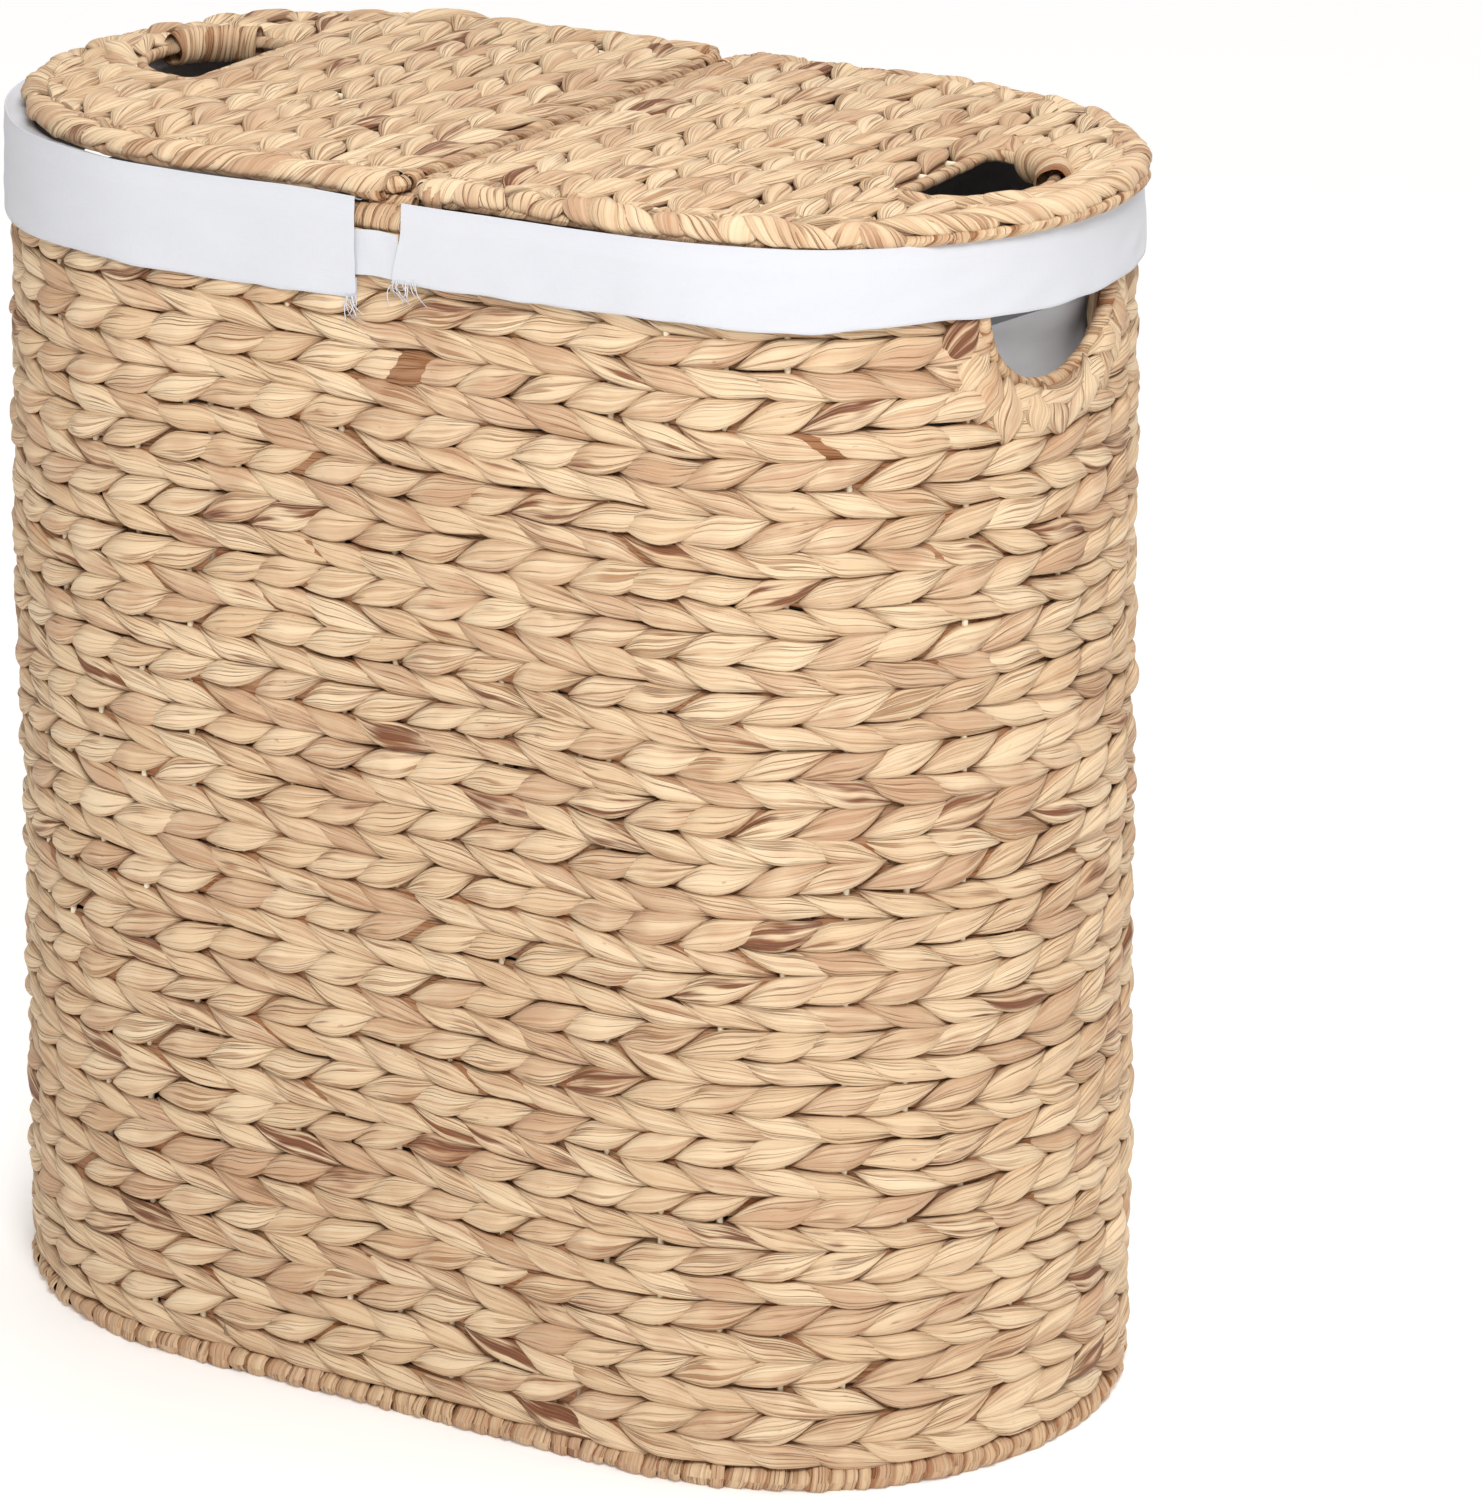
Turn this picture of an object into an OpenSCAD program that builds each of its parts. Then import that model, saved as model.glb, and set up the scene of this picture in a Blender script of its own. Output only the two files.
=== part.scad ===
// Woven laundry basket with two cloth-lined compartments and two hinged lids.
// Millimetres. The origin is on the floor under the middle of the basket, with +Z up and the
// front towards -Y. The plan is a stadium: straight front and back, half-round ends.

/* [Basket] */
// Length of the basket at its base
base_length = 576; // [480:4:700]
// Depth of the basket at its base
base_depth = 322; // [270:2:390]
// Height of the woven wall's top edge
wall_height = 575; // [420:5:700]
// How much narrower the basket is at its rim, on each side
taper = 8.5; // [2:0.5:14]
// Thickness of the woven wall
wall_t = 11; // [9:0.5:14]
// Thickness of the woven bottom
base_t = 9; // [6:0.5:11]
// Radius of the leaf wrapping on the base ring
base_ring_r = 6; // [5.5:0.5:8]
// Depth of the flat worn under the base ring
base_flat = 0.5; // [0.2:0.1:1]

/* [Frame and stakes] */
// Radius of the steel frame wire
wire_r = 2; // [1.5:0.25:3]
// Radius of the stakes that the leaves are twined around
stake_r = 1.5; // [1:0.25:2]
// Spacing of the stakes along the wall
stake_pitch = 28.5; // [22:0.5:40]
// Clearance round a stake or a wire in its channel
channel_gap = 0.1; // [0.05:0.05:0.3]
// Radius of the leaf wrapping on the rim
rim_r = 6; // [5:0.25:8]
// Radius of the leaf wrapping on the centre bar
bar_r = 5; // [4:0.25:6]

/* [Hand holes] */
// Radius of the round side of a hand hole
hole_r = 43; // [34:1:46]
// How far the straight side lies from the centre of the round side
hole_flat = 3; // [2:0.5:8]
// Radius of the wire round a hand hole
hole_wire_r = 1.5; // [1:0.25:2]
// Radius of the leaf wrapping on that wire
hole_wrap_r = 2.6; // [2.2:0.1:3.2]
// Height of the end hand holes' straight side below the wall's top edge
end_hole_drop = 12; // [8:1:30]
// Turn of the end hand holes from the end's middle, as seen from above
end_hole_turn = -12; // [-16:1:16]

/* [Lids] */
// Sideways offset of the hinge line from the basket's middle
lid_shift = 7; // [-10:1:10]
// Distance of each lid's pivot from the hinge line
pivot_offset = 6; // [5.5:0.5:9]
// Gap between a lid and the liner it rests on
lid_gap = 0.7; // [0.4:0.1:2]
// Half the thickness of the woven lid panel
panel_half = 5.5; // [4.5:0.25:5.5]
// Radius of the leaf edging round a lid
edge_r = 6; // [5.5:0.25:7]
// How far the lids' edging stays inside the cuffs
lid_inset = 3.8; // [1:0.2:8]
// Radius of the leaf wrapping on a lid's pivot rod
rod_wrap_r = 4; // [3.5:0.25:4.5]
// Distance from a lid's outer end to its hand hole's round side
hole_margin = 35; // [28:1:50]
// Place of the left lid's hand hole, front to back
left_hole_y = 18; // [-30:1:30]
// Place of the right lid's hand hole, front to back
right_hole_y = -6; // [-30:1:30]
// Radius of the thick grip on a lid hole's round side
grip_r = 9; // [7:0.5:10]
// Angle at which the grip starts, from the middle of the round side
grip_start = 12; // [0:1:30]
// Angle that the grip covers
grip_sweep = 58; // [30:1:60]

/* [Hinge ties] */
// Width of a hinge tie along the rod
tie_w = 10; // [8:0.5:14]
// Outer radius of a hinge tie's loop
tie_r = 4.8; // [4:0.1:5.2]
// Running clearance between a pivot rod and its tie
pivot_gap = 0.06; // [0.03:0.01:0.1]
// Distance from a tie to the end of the rod's straight run
tie_end = 2; // [1:0.5:6]
// Clearance between a tie and the moving lid beside it
side_gap = 1; // [0.5:0.1:2]

/* [Liners] */
// Thickness of the liner cloth
cloth_t = 1.5; // [1:0.1:2]
// Gap between the cloth and what it hangs on
cloth_gap = 0.4; // [0.3:0.1:1]
// Drop of the left cuff below the rim's centre
left_cuff = 37; // [20:1:70]
// Drop of the right cuff below the rim's centre
right_cuff = 26; // [20:1:70]
// Where the left cuff stops, from the basket's middle
left_cuff_end = -15; // [-40:1:-12]
// Where the right cuff starts, from the basket's middle
right_cuff_end = 5; // [4:1:40]
// Height of the liner's bottom above the woven bottom
liner_lift = 3; // [1:1:20]
// Width of the slot in a liner behind the end hand hole
slot_w = 80; // [40:2:90]
// Height of that slot
slot_h = 20; // [12:1:40]
// Height of the strap that joins the two cuffs
strap_h = 21; // [10:1:24]

/* [Hidden] */
$fn = 96;

// Plan: the two end arcs turn about points at x = -end_x and x = end_x
end_x = (base_length - base_depth) / 2;
base_rad = base_depth / 2;
rim_rad = base_rad - taper;

// Heights
ring_z = base_ring_r - base_flat;
wall_z = ring_z + base_ring_r;
rim_z = wall_height + rim_r;
base_z = wall_z - base_t;
fold_r = rim_r + cloth_gap + cloth_t;
lid_z = rim_z + fold_r + lid_gap + edge_r;

// Centre lines
ring_path = base_rad - base_ring_r;
rim_path = rim_rad - wall_t / 2;
lid_rad = rim_path + fold_r - lid_inset;
edge_path = lid_rad - edge_r;
panel_rad = edge_path - edge_r;
corner_r = edge_r;
rod_half = edge_path - corner_r;
tie_y = rod_half - tie_end - tie_w / 2;

// Stakes
channel_r = stake_r + channel_gap;
front_count = round(2 * end_x / stake_pitch);
front_pitch = 2 * end_x / front_count;
end_count = round(PI * rim_rad / stake_pitch);
lid_count = round(2 * panel_rad / stake_pitch);
lid_pitch = 2 * panel_rad / lid_count;
base_count = 2 * floor(end_x / stake_pitch) + 1;

// Hand holes
hole_path = hole_r + hole_wrap_r;
hole_corner_r = hole_flat + hole_wrap_r;
end_hole_z = wall_height - end_hole_drop;

// Liner
leg_out = rim_path - rim_r - cloth_gap;
leg_in = leg_out - cloth_t;
cuff_in = rim_path + rim_r + cloth_gap;
liner_z = wall_z + liner_lift;
side_gap_x = bar_r + 2;
end_ring_rad = leg_out + hole_wrap_r + channel_gap;

far = 2000;
straw = "#d3ac79";
pale_straw = "#e0c08f";
cloth = "#f2f1ee";
steel = "#8d8a84";

// ---------- helpers ----------

// A rod from one point to another
module rod(a, b, r) {
    d = b - a;
    translate(a) rotate([0, acos(d.z / norm(d)), atan2(d.y, d.x)]) cylinder(h = norm(d), r = r);
}

// Half-round sweep of a radial profile about the right-hand end's centre
module end_sweep() {
    translate([end_x, 0, 0]) rotate([0, 0, -90]) rotate_extrude(angle = 180) children();
}

// Straight sweep of the same profile along the front or the back, side = -1 or 1
module side_sweep(side, x0, x1) {
    translate([side > 0 ? x0 : x1, 0, 0])
        rotate([90, 0, side > 0 ? 90 : -90])
            linear_extrude(height = x1 - x0) children();
}

// A radial profile swept all round the stadium
module stadium_sweep() {
    end_sweep() children();
    mirror([1, 0, 0]) end_sweep() children();
    for (side = [-1, 1]) side_sweep(side, -end_x, end_x) children();
}

// Plan of one half of a stadium, from x0 out to the right-hand end
module half_plan(x0, rad) {
    translate([end_x, 0]) intersection() {
        circle(r = rad);
        translate([0, -far]) square(2 * far);
    }
    translate([x0, -rad]) square([end_x - x0, 2 * rad]);
}

// Right-hand piece as it is, left-hand piece mirrored
module on_side(side) {
    if (side > 0) children();
    else mirror([1, 0, 0]) children();
}

// The end hand holes face each other across the basket, turned half round
module on_end(side) {
    rotate([0, 0, side > 0 ? 0 : 180]) children();
}

// ---------- base ----------

module ring_profile() {
    intersection() {
        union() {
            translate([ring_path, ring_z]) circle(r = base_ring_r);
            translate([ring_path - base_ring_r, ring_z]) square([2 * base_ring_r, base_ring_r]);
        }
        square([far, far]);
    }
}

module base_ring() {
    color(straw) difference() {
        stadium_sweep() ring_profile();
        stadium_sweep() translate([ring_path, ring_z]) circle(r = wire_r + channel_gap);
    }
}

module base_wire() {
    color(steel) stadium_sweep() translate([ring_path, ring_z]) circle(r = wire_r);
}

module base_stake_rods(r) {
    half = ring_path - base_ring_r;
    for (i = [0 : base_count - 1])
        rod([(i - (base_count - 1) / 2) * stake_pitch, -half + 1, base_z + base_t / 2],
            [(i - (base_count - 1) / 2) * stake_pitch, half - 1, base_z + base_t / 2], r);
}

module base_panel() {
    color(straw) difference() {
        translate([0, 0, base_z]) linear_extrude(height = base_t) {
            half_plan(0, ring_path - base_ring_r);
            mirror([1, 0]) half_plan(0, ring_path - base_ring_r);
        }
        base_stake_rods(channel_r);
    }
}

module base_stakes() {
    color(pale_straw) base_stake_rods(stake_r);
}

// ---------- wall ----------

// Middle of the wall's thickness at its foot and at its top
wall_foot = base_rad - wall_t / 2;
wall_head = rim_rad - wall_t / 2;

module side_rod(x, side, r) {
    rod([x, side * wall_foot, wall_z + 0.2], [x, side * wall_head, wall_height - 0.2], r);
}

module side_stakes(side, r) {
    for (i = [0 : front_count - 1])
        side_rod(-end_x + (i + 0.5) * front_pitch, side, r);
}

module upright_rods(r) {
    for (side = [-1, 1], x = [-end_x + front_pitch, end_x - front_pitch]) side_rod(x, side, r);
}

module end_stake_rods(r) {
    for (i = [0 : end_count - 1]) {
        a = -90 + (i + 0.5) * 180 / end_count;
        rod([end_x + wall_foot * cos(a), wall_foot * sin(a), wall_z + 0.2],
            [end_x + wall_head * cos(a), wall_head * sin(a), wall_height - 0.2], r);
    }
}

module wall_profile() {
    polygon([[base_rad - wall_t, wall_z], [base_rad, wall_z],
             [rim_rad, wall_height], [rim_rad - wall_t, wall_height]]);
}

module side_wall(side) {
    color(straw) difference() {
        side_sweep(side, -end_x, end_x) wall_profile();
        side_stakes(side, channel_r);
        upright_rods(wire_r + channel_gap);
    }
}

// The D of a hand hole, its straight side at the top, grown by a margin
module hole_plan(margin) {
    intersection() {
        translate([0, -hole_flat]) circle(r = hole_r + margin);
        translate([-far, -far]) square([2 * far, far + margin]);
    }
}

// Stands a hand hole's plan upright in the right-hand end wall
module in_end_wall() {
    translate([end_x, 0, end_hole_z]) rotate([0, 0, end_hole_turn]) rotate([90, 0, 90]) children();
}

module end_hole_cut() {
    in_end_wall() linear_extrude(height = far) hole_plan(2 * hole_wrap_r);
}

module end_wall() {
    color(straw) difference() {
        end_sweep() wall_profile();
        end_hole_cut();
        end_stake_rods(channel_r);
    }
}

module end_stakes() {
    color(pale_straw) difference() {
        end_stake_rods(stake_r);
        end_hole_cut();
    }
}

module front_wall() { side_wall(-1); }
module back_wall() { side_wall(1); }
module left_wall() { on_end(-1) end_wall(); }
module right_wall() { on_end(1) end_wall(); }
module front_stakes() { color(pale_straw) side_stakes(-1, stake_r); }
module back_stakes() { color(pale_straw) side_stakes(1, stake_r); }
module left_stakes() { on_end(-1) end_stakes(); }
module right_stakes() { on_end(1) end_stakes(); }
module frame_uprights() { color(steel) upright_rods(wire_r); }

// ---------- rim and centre bar ----------

module rim_wrap() {
    color(straw) difference() {
        stadium_sweep() {
            translate([rim_path, rim_z]) circle(r = rim_r);
            translate([rim_path - rim_r, wall_height]) square([2 * rim_r, rim_r]);
        }
        stadium_sweep() translate([rim_path, rim_z]) circle(r = wire_r + channel_gap);
    }
}

module rim_wire() {
    color(steel) stadium_sweep() translate([rim_path, rim_z]) circle(r = wire_r);
}

module bar_rod(r) {
    half = rim_path - rim_r - channel_gap;
    rod([lid_shift, -half, rim_z], [lid_shift, half, rim_z], r);
}

module centre_bar_wrap() {
    color(straw) difference() {
        bar_rod(bar_r);
        bar_rod(wire_r + channel_gap);
    }
}

module centre_bar_wire() {
    color(steel) bar_rod(wire_r);
}

// ---------- hand hole rings ----------

// Closed ring of tube round a hand hole: the round side, two tight corners, the straight side.
// The clear opening's straight side lies on the X axis of the plan.
module hole_ring(r) {
    run = hole_path - hole_corner_r;
    translate([0, -hole_flat, 0]) {
        rotate([0, 0, 180]) rotate_extrude(angle = 180) translate([hole_path, 0]) circle(r = r);
        for (m = [0, 1]) mirror([m, 0, 0])
            translate([run, 0, 0]) rotate_extrude(angle = 90) translate([hole_corner_r, 0]) circle(r = r);
        translate([-run, hole_corner_r, 0]) rotate([0, 90, 0]) cylinder(h = 2 * run, r = r);
    }
}

module end_ring(r) {
    in_end_wall() translate([0, 0, end_ring_rad]) hole_ring(r);
}

module end_hole_wrap() {
    color(straw) difference() {
        end_ring(hole_wrap_r);
        end_ring(hole_wire_r + channel_gap);
    }
}

module end_hole_wire() {
    color(steel) end_ring(hole_wire_r);
}

module left_hole_wrap() { on_end(-1) end_hole_wrap(); }
module left_hole_wire() { on_end(-1) end_hole_wire(); }
module right_hole_wrap() { on_end(1) end_hole_wrap(); }
module right_hole_wire() { on_end(1) end_hole_wire(); }

// ---------- liners ----------

// Cloth over the rim: the bag's wall inside, the fold over the top
module leg_profile() {
    translate([leg_in, liner_z]) square([cloth_t, rim_z - liner_z]);
}

module fold_profile(cuff) {
    translate([rim_path, rim_z]) intersection() {
        difference() {
            circle(r = fold_r);
            circle(r = fold_r - cloth_t);
        }
        translate([-far, 0]) square(2 * far);
    }
    translate([cuff_in, rim_z - cuff]) square([cloth_t, cuff]);
}

// One liner, drawn on the right-hand side
module liner(bag_x, cuff_x, cuff, turn, bar_x) {
    color(cloth) difference() {
        union() {
            end_sweep() {
                leg_profile();
                fold_profile(cuff);
            }
            for (s = [-1, 1]) {
                side_sweep(s, bag_x, end_x) leg_profile();
                side_sweep(s, cuff_x, end_x) fold_profile(cuff);
            }
            translate([bag_x, -leg_out, liner_z]) cube([cloth_t, 2 * leg_out, rim_z - liner_z]);
            translate([0, 0, liner_z]) linear_extrude(height = cloth_t) half_plan(bag_x, leg_out);
        }
        rod([bar_x, -rim_path, rim_z], [bar_x, rim_path, rim_z], bar_r + cloth_gap);
        translate([end_x, 0, end_hole_z - slot_h]) rotate([0, 0, turn])
            translate([0, -slot_w / 2, 0]) cube([rim_path, slot_w, slot_h]);
    }
}

module left_liner() {
    on_side(-1) liner(side_gap_x - lid_shift, -left_cuff_end, left_cuff, -end_hole_turn, -lid_shift);
}

module right_liner() {
    liner(side_gap_x + lid_shift, right_cuff_end, right_cuff, end_hole_turn, lid_shift);
}

module strap(side) {
    color(cloth)
        translate([left_cuff_end + cloth_gap, side > 0 ? cuff_in : -cuff_in - cloth_t, rim_z - right_cuff])
            cube([right_cuff_end - left_cuff_end - 2 * cloth_gap, cloth_t, strap_h]);
}

module front_strap() { strap(-1); }
module back_strap() { strap(1); }

// ---------- hinge ties ----------

// A loop of leaf round a lid's pivot rod, with its tail bound to the centre bar
module tie(side, end) {
    px = lid_shift + side * pivot_offset;
    y0 = end * tie_y - tie_w / 2;
    color(straw) difference() {
        union() {
            translate([px, y0, lid_z]) rotate([-90, 0, 0]) cylinder(h = tie_w, r = tie_r);
            translate([min(px, lid_shift + side), y0, rim_z])
                cube([pivot_offset - 1, tie_w, lid_z - rim_z]);
        }
        translate([px, y0 - 1, lid_z]) rotate([-90, 0, 0]) cylinder(h = tie_w + 2, r = wire_r + pivot_gap);
        bar_rod(bar_r + channel_gap);
    }
}

module left_tie_front() { tie(-1, -1); }
module left_tie_back() { tie(-1, 1); }
module right_tie_front() { tie(1, -1); }
module right_tie_back() { tie(1, 1); }

// ---------- lids ----------

// The lids are drawn from the pivot outwards along +X, at the height of the pivot
lid_end_x = end_x - pivot_offset;
lid_hole = lid_end_x + lid_rad - hole_margin - hole_flat - hole_r;

module place_lid(side) {
    translate([lid_shift, 0, lid_z]) on_side(side) translate([pivot_offset, 0, 0]) children();
}

// A profile swept round the lid's outer edge, from corner to corner
module lid_sweep() {
    translate([lid_end_x, 0, 0]) rotate([0, 0, -90]) rotate_extrude(angle = 180) children();
    for (s = [-1, 1])
        side_sweep(s, corner_r, lid_end_x) children();
}

// Quarter turn of the edge tube into the pivot rod
module lid_corners(r) {
    for (s = [0, 1]) mirror([0, s, 0])
        translate([corner_r, -rod_half, 0]) rotate([0, 0, 180])
            rotate_extrude(angle = 90) translate([corner_r, 0]) circle(r = r);
}

module lid_wire_solid(r) {
    lid_sweep() translate([edge_path, 0]) circle(r = r);
    lid_corners(r);
    translate([0, rod_half, 0]) rotate([90, 0, 0]) cylinder(h = 2 * rod_half, r = r);
}

module lid_wire(side) {
    color(steel) place_lid(side) lid_wire_solid(wire_r);
}

module lid_edge(side) {
    color(straw) place_lid(side) difference() {
        lid_sweep() {
            translate([edge_path, 0]) circle(r = edge_r);
            translate([panel_rad, -edge_r]) square([edge_r, 2 * edge_r]);
        }
        lid_wire_solid(wire_r + channel_gap);
    }
}

module lid_rod_wrap(side) {
    half = tie_y - tie_w / 2 - side_gap;
    color(straw) place_lid(side) difference() {
        union() {
            translate([0, half, 0]) rotate([90, 0, 0]) cylinder(h = 2 * half, r = rod_wrap_r);
            translate([0, -half, -rod_wrap_r]) cube([rod_wrap_r, 2 * half, 2 * rod_wrap_r]);
        }
        lid_wire_solid(wire_r + channel_gap);
    }
}

// Hand hole's plan turned so that its straight side faces the pivot
module in_lid(hole_y) {
    translate([lid_hole, hole_y, 0]) rotate([0, 0, 90]) children();
}

module lid_hole_ring(hole_y, r) {
    in_lid(hole_y) hole_ring(r);
}

module lid_grip_sweep(hole_y) {
    in_lid(hole_y) translate([0, -hole_flat, 0]) rotate([0, 0, -90 + grip_start])
        rotate_extrude(angle = grip_sweep) translate([hole_path, 0]) children();
}

module lid_grip_solid(hole_y) {
    lid_grip_sweep(hole_y) circle(r = grip_r);
}

module lid_stake_rods(r) {
    for (i = [0 : lid_count - 1]) {
        y = -panel_rad + (i + 0.5) * lid_pitch;
        rod([rod_wrap_r + 0.5, y, 0], [lid_end_x + sqrt(pow(panel_rad - 2, 2) - y * y), y, 0], r);
    }
}

module lid_panel(side, hole_y) {
    color(straw) place_lid(side) difference() {
        translate([0, 0, -panel_half]) linear_extrude(height = 2 * panel_half) difference() {
            union() {
                translate([lid_end_x, 0]) intersection() {
                    circle(r = panel_rad);
                    translate([0, -far]) square(2 * far);
                }
                translate([rod_wrap_r, -panel_rad]) square([lid_end_x - rod_wrap_r, 2 * panel_rad]);
            }
            translate([lid_hole, hole_y]) rotate(90) hole_plan(2 * hole_wrap_r);
            for (s = [-1, 1])
                translate([-tie_r, s * tie_y - tie_w / 2 - side_gap])
                    square([2 * tie_r + side_gap, tie_w + 2 * side_gap]);
        }
        lid_stake_rods(channel_r);
        lid_grip_solid(hole_y);
        lid_wire_solid(wire_r + channel_gap);
    }
}

module lid_stakes(side, hole_y) {
    color(pale_straw) place_lid(side) difference() {
        lid_stake_rods(stake_r);
        translate([lid_hole, hole_y, -panel_half]) rotate([0, 0, 90])
            linear_extrude(height = 2 * panel_half) hole_plan(2 * hole_wrap_r);
        lid_grip_solid(hole_y);
        for (s = [-1, 1])
            translate([-tie_r, s * tie_y - tie_w / 2 - side_gap, -panel_half])
                cube([2 * tie_r + side_gap, tie_w + 2 * side_gap, 2 * panel_half]);
    }
}

module lid_hole_wire(side, hole_y) {
    color(steel) place_lid(side) lid_hole_ring(hole_y, hole_wire_r);
}

module lid_hole_wrap(side, hole_y) {
    color(straw) place_lid(side) difference() {
        lid_hole_ring(hole_y, hole_wrap_r);
        lid_hole_ring(hole_y, hole_wire_r + channel_gap);
        lid_grip_solid(hole_y);
    }
}

module lid_grip(side, hole_y) {
    color(pale_straw) place_lid(side) lid_grip_sweep(hole_y) difference() {
        circle(r = grip_r);
        circle(r = hole_wire_r + channel_gap);
    }
}

module left_lid_wire() { lid_wire(-1); }
module left_lid_edge() { lid_edge(-1); }
module left_lid_rod_wrap() { lid_rod_wrap(-1); }
module left_lid_panel() { lid_panel(-1, left_hole_y); }
module left_lid_stakes() { lid_stakes(-1, left_hole_y); }
module left_lid_hole_wire() { lid_hole_wire(-1, left_hole_y); }
module left_lid_hole_wrap() { lid_hole_wrap(-1, left_hole_y); }
module left_lid_grip() { lid_grip(-1, left_hole_y); }
module right_lid_wire() { lid_wire(1); }
module right_lid_edge() { lid_edge(1); }
module right_lid_rod_wrap() { lid_rod_wrap(1); }
module right_lid_panel() { lid_panel(1, right_hole_y); }
module right_lid_stakes() { lid_stakes(1, right_hole_y); }
module right_lid_hole_wire() { lid_hole_wire(1, right_hole_y); }
module right_lid_hole_wrap() { lid_hole_wrap(1, right_hole_y); }
module right_lid_grip() { lid_grip(1, right_hole_y); }

// ---------- nodes ----------

base_ring();
base_wire();
base_panel();
base_stakes();
front_wall();
back_wall();
left_wall();
right_wall();
front_stakes();
back_stakes();
left_stakes();
right_stakes();
frame_uprights();
rim_wrap();
rim_wire();
centre_bar_wrap();
centre_bar_wire();
left_hole_wrap();
left_hole_wire();
right_hole_wrap();
right_hole_wire();
left_liner();
right_liner();
front_strap();
back_strap();
left_tie_front();
left_tie_back();
right_tie_front();
right_tie_back();
left_lid_wire();
left_lid_edge();
left_lid_rod_wrap();
left_lid_panel();
left_lid_stakes();
left_lid_hole_wire();
left_lid_hole_wrap();
left_lid_grip();
right_lid_wire();
right_lid_edge();
right_lid_rod_wrap();
right_lid_panel();
right_lid_stakes();
right_lid_hole_wire();
right_lid_hole_wrap();
right_lid_grip();
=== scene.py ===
"""Woven leaf laundry basket: the twined walls and lids, their bindings, and the cloth liners."""

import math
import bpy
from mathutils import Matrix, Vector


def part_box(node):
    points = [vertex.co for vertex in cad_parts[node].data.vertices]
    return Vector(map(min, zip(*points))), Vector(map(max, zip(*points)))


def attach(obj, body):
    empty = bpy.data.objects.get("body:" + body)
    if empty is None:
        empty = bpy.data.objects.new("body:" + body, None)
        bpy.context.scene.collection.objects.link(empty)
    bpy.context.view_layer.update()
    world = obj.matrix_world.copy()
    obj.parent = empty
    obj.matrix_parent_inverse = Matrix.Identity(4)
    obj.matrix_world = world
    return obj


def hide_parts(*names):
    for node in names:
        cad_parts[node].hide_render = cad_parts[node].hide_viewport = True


bl_info = {
    "name": "Woven Laundry Basket",
    "version": (1, 0, 0),
    "blender": (4, 5, 0),
    "location": "3D View > Sidebar > Basket",
    "description": "Builds a twined leaf laundry basket with two lids and two cloth liners",
    "category": "Add Mesh",
}

import bpy
import numpy as np
from bpy.props import FloatProperty, FloatVectorProperty, IntProperty, PointerProperty
from mathutils import Matrix, Vector

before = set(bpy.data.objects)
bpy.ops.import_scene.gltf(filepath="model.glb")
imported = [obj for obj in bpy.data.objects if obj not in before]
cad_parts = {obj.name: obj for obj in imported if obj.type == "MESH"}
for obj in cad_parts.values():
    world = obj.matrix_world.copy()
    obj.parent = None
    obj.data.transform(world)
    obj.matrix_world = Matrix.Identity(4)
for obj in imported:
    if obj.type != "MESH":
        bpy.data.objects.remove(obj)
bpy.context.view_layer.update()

MM = 0.001
TAU = 2 * math.pi
OBJECT_COORDINATES = 3

WIRE_R = 2 * MM
HOLE_WIRE_R = 1.5 * MM
RING_WRAP = 4 * MM
LID_EDGE_R = 6 * MM
FRONT_STAKES = 9
END_STAKES = 17
BASE_ROWS = 21
LID_ROW = 14.3 * MM
# where a lid's edging starts, from its rod
EDGE_START = 3 * MM
# heights of the cuffs' hems, and how far their ends lie from the basket's middle
CUFF_HEMS = {"left": 544 * MM, "right": 555 * MM}
CUFF_ENDS = {"left": 15 * MM, "right": 5 * MM}
# above this height the cuffs press on the weave
PRESSED_ABOVE = 534 * MM
# the slot in a liner behind the end hand hole
SLOT_FOOT, SLOT_HEAD, SLOT_HALF = 543 * MM, 563 * MM, 40 * MM


# ---------- sizes taken from the frame ----------

def low(node, axis):
    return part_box(node)[0][axis]


def high(node, axis):
    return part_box(node)[1][axis]


FOOT_R = high("base_ring", 1)
END_X = high("base_ring", 0) - FOOT_R
RING_R = (high("base_wire", 2) - low("base_wire", 2)) / 2 + RING_WRAP
RING_Z = (high("base_wire", 2) + low("base_wire", 2)) / 2
RING_PATH = high("base_wire", 1) - WIRE_R
WALL_FOOT = low("front_wall", 2)
WALL_HEAD = high("front_wall", 2)
RIM_Z = (high("rim_wire", 2) + low("rim_wire", 2)) / 2
RIM_PATH = high("rim_wire", 1) - WIRE_R
RIM_TUBE = high("rim_wrap", 2) - RIM_Z
HEAD_R = RIM_PATH + 5.5 * MM
BAR_X = (high("centre_bar_wire", 0) + low("centre_bar_wire", 0)) / 2
BAR_TUBE = high("centre_bar_wrap", 2) - RIM_Z
LID_Z = (high("left_lid_wire", 2) + low("left_lid_wire", 2)) / 2
LID_R = high("left_lid_edge", 1)
LID_PANEL = high("left_lid_panel", 1)
PIVOTS = {"left": high("left_lid_wire", 0) - WIRE_R, "right": low("right_lid_wire", 0) + WIRE_R}
HOLE_WRAP = (high("right_lid_hole_wrap", 2) - low("right_lid_hole_wrap", 2)) / 2
HOLE_PATH = (high("right_lid_hole_wire", 1) - low("right_lid_hole_wire", 1)) / 2 - HOLE_WIRE_R
HOLE_FLAT = 3 * MM
HOLE_TURN = math.radians(-12)
END_HOLE_Z = high("right_hole_wrap", 2) - 2 * HOLE_WRAP
BAG_FOOT = low("left_liner", 2)
SIDES = {"left": -1, "right": 1}


# ---------- settings ----------

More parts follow.
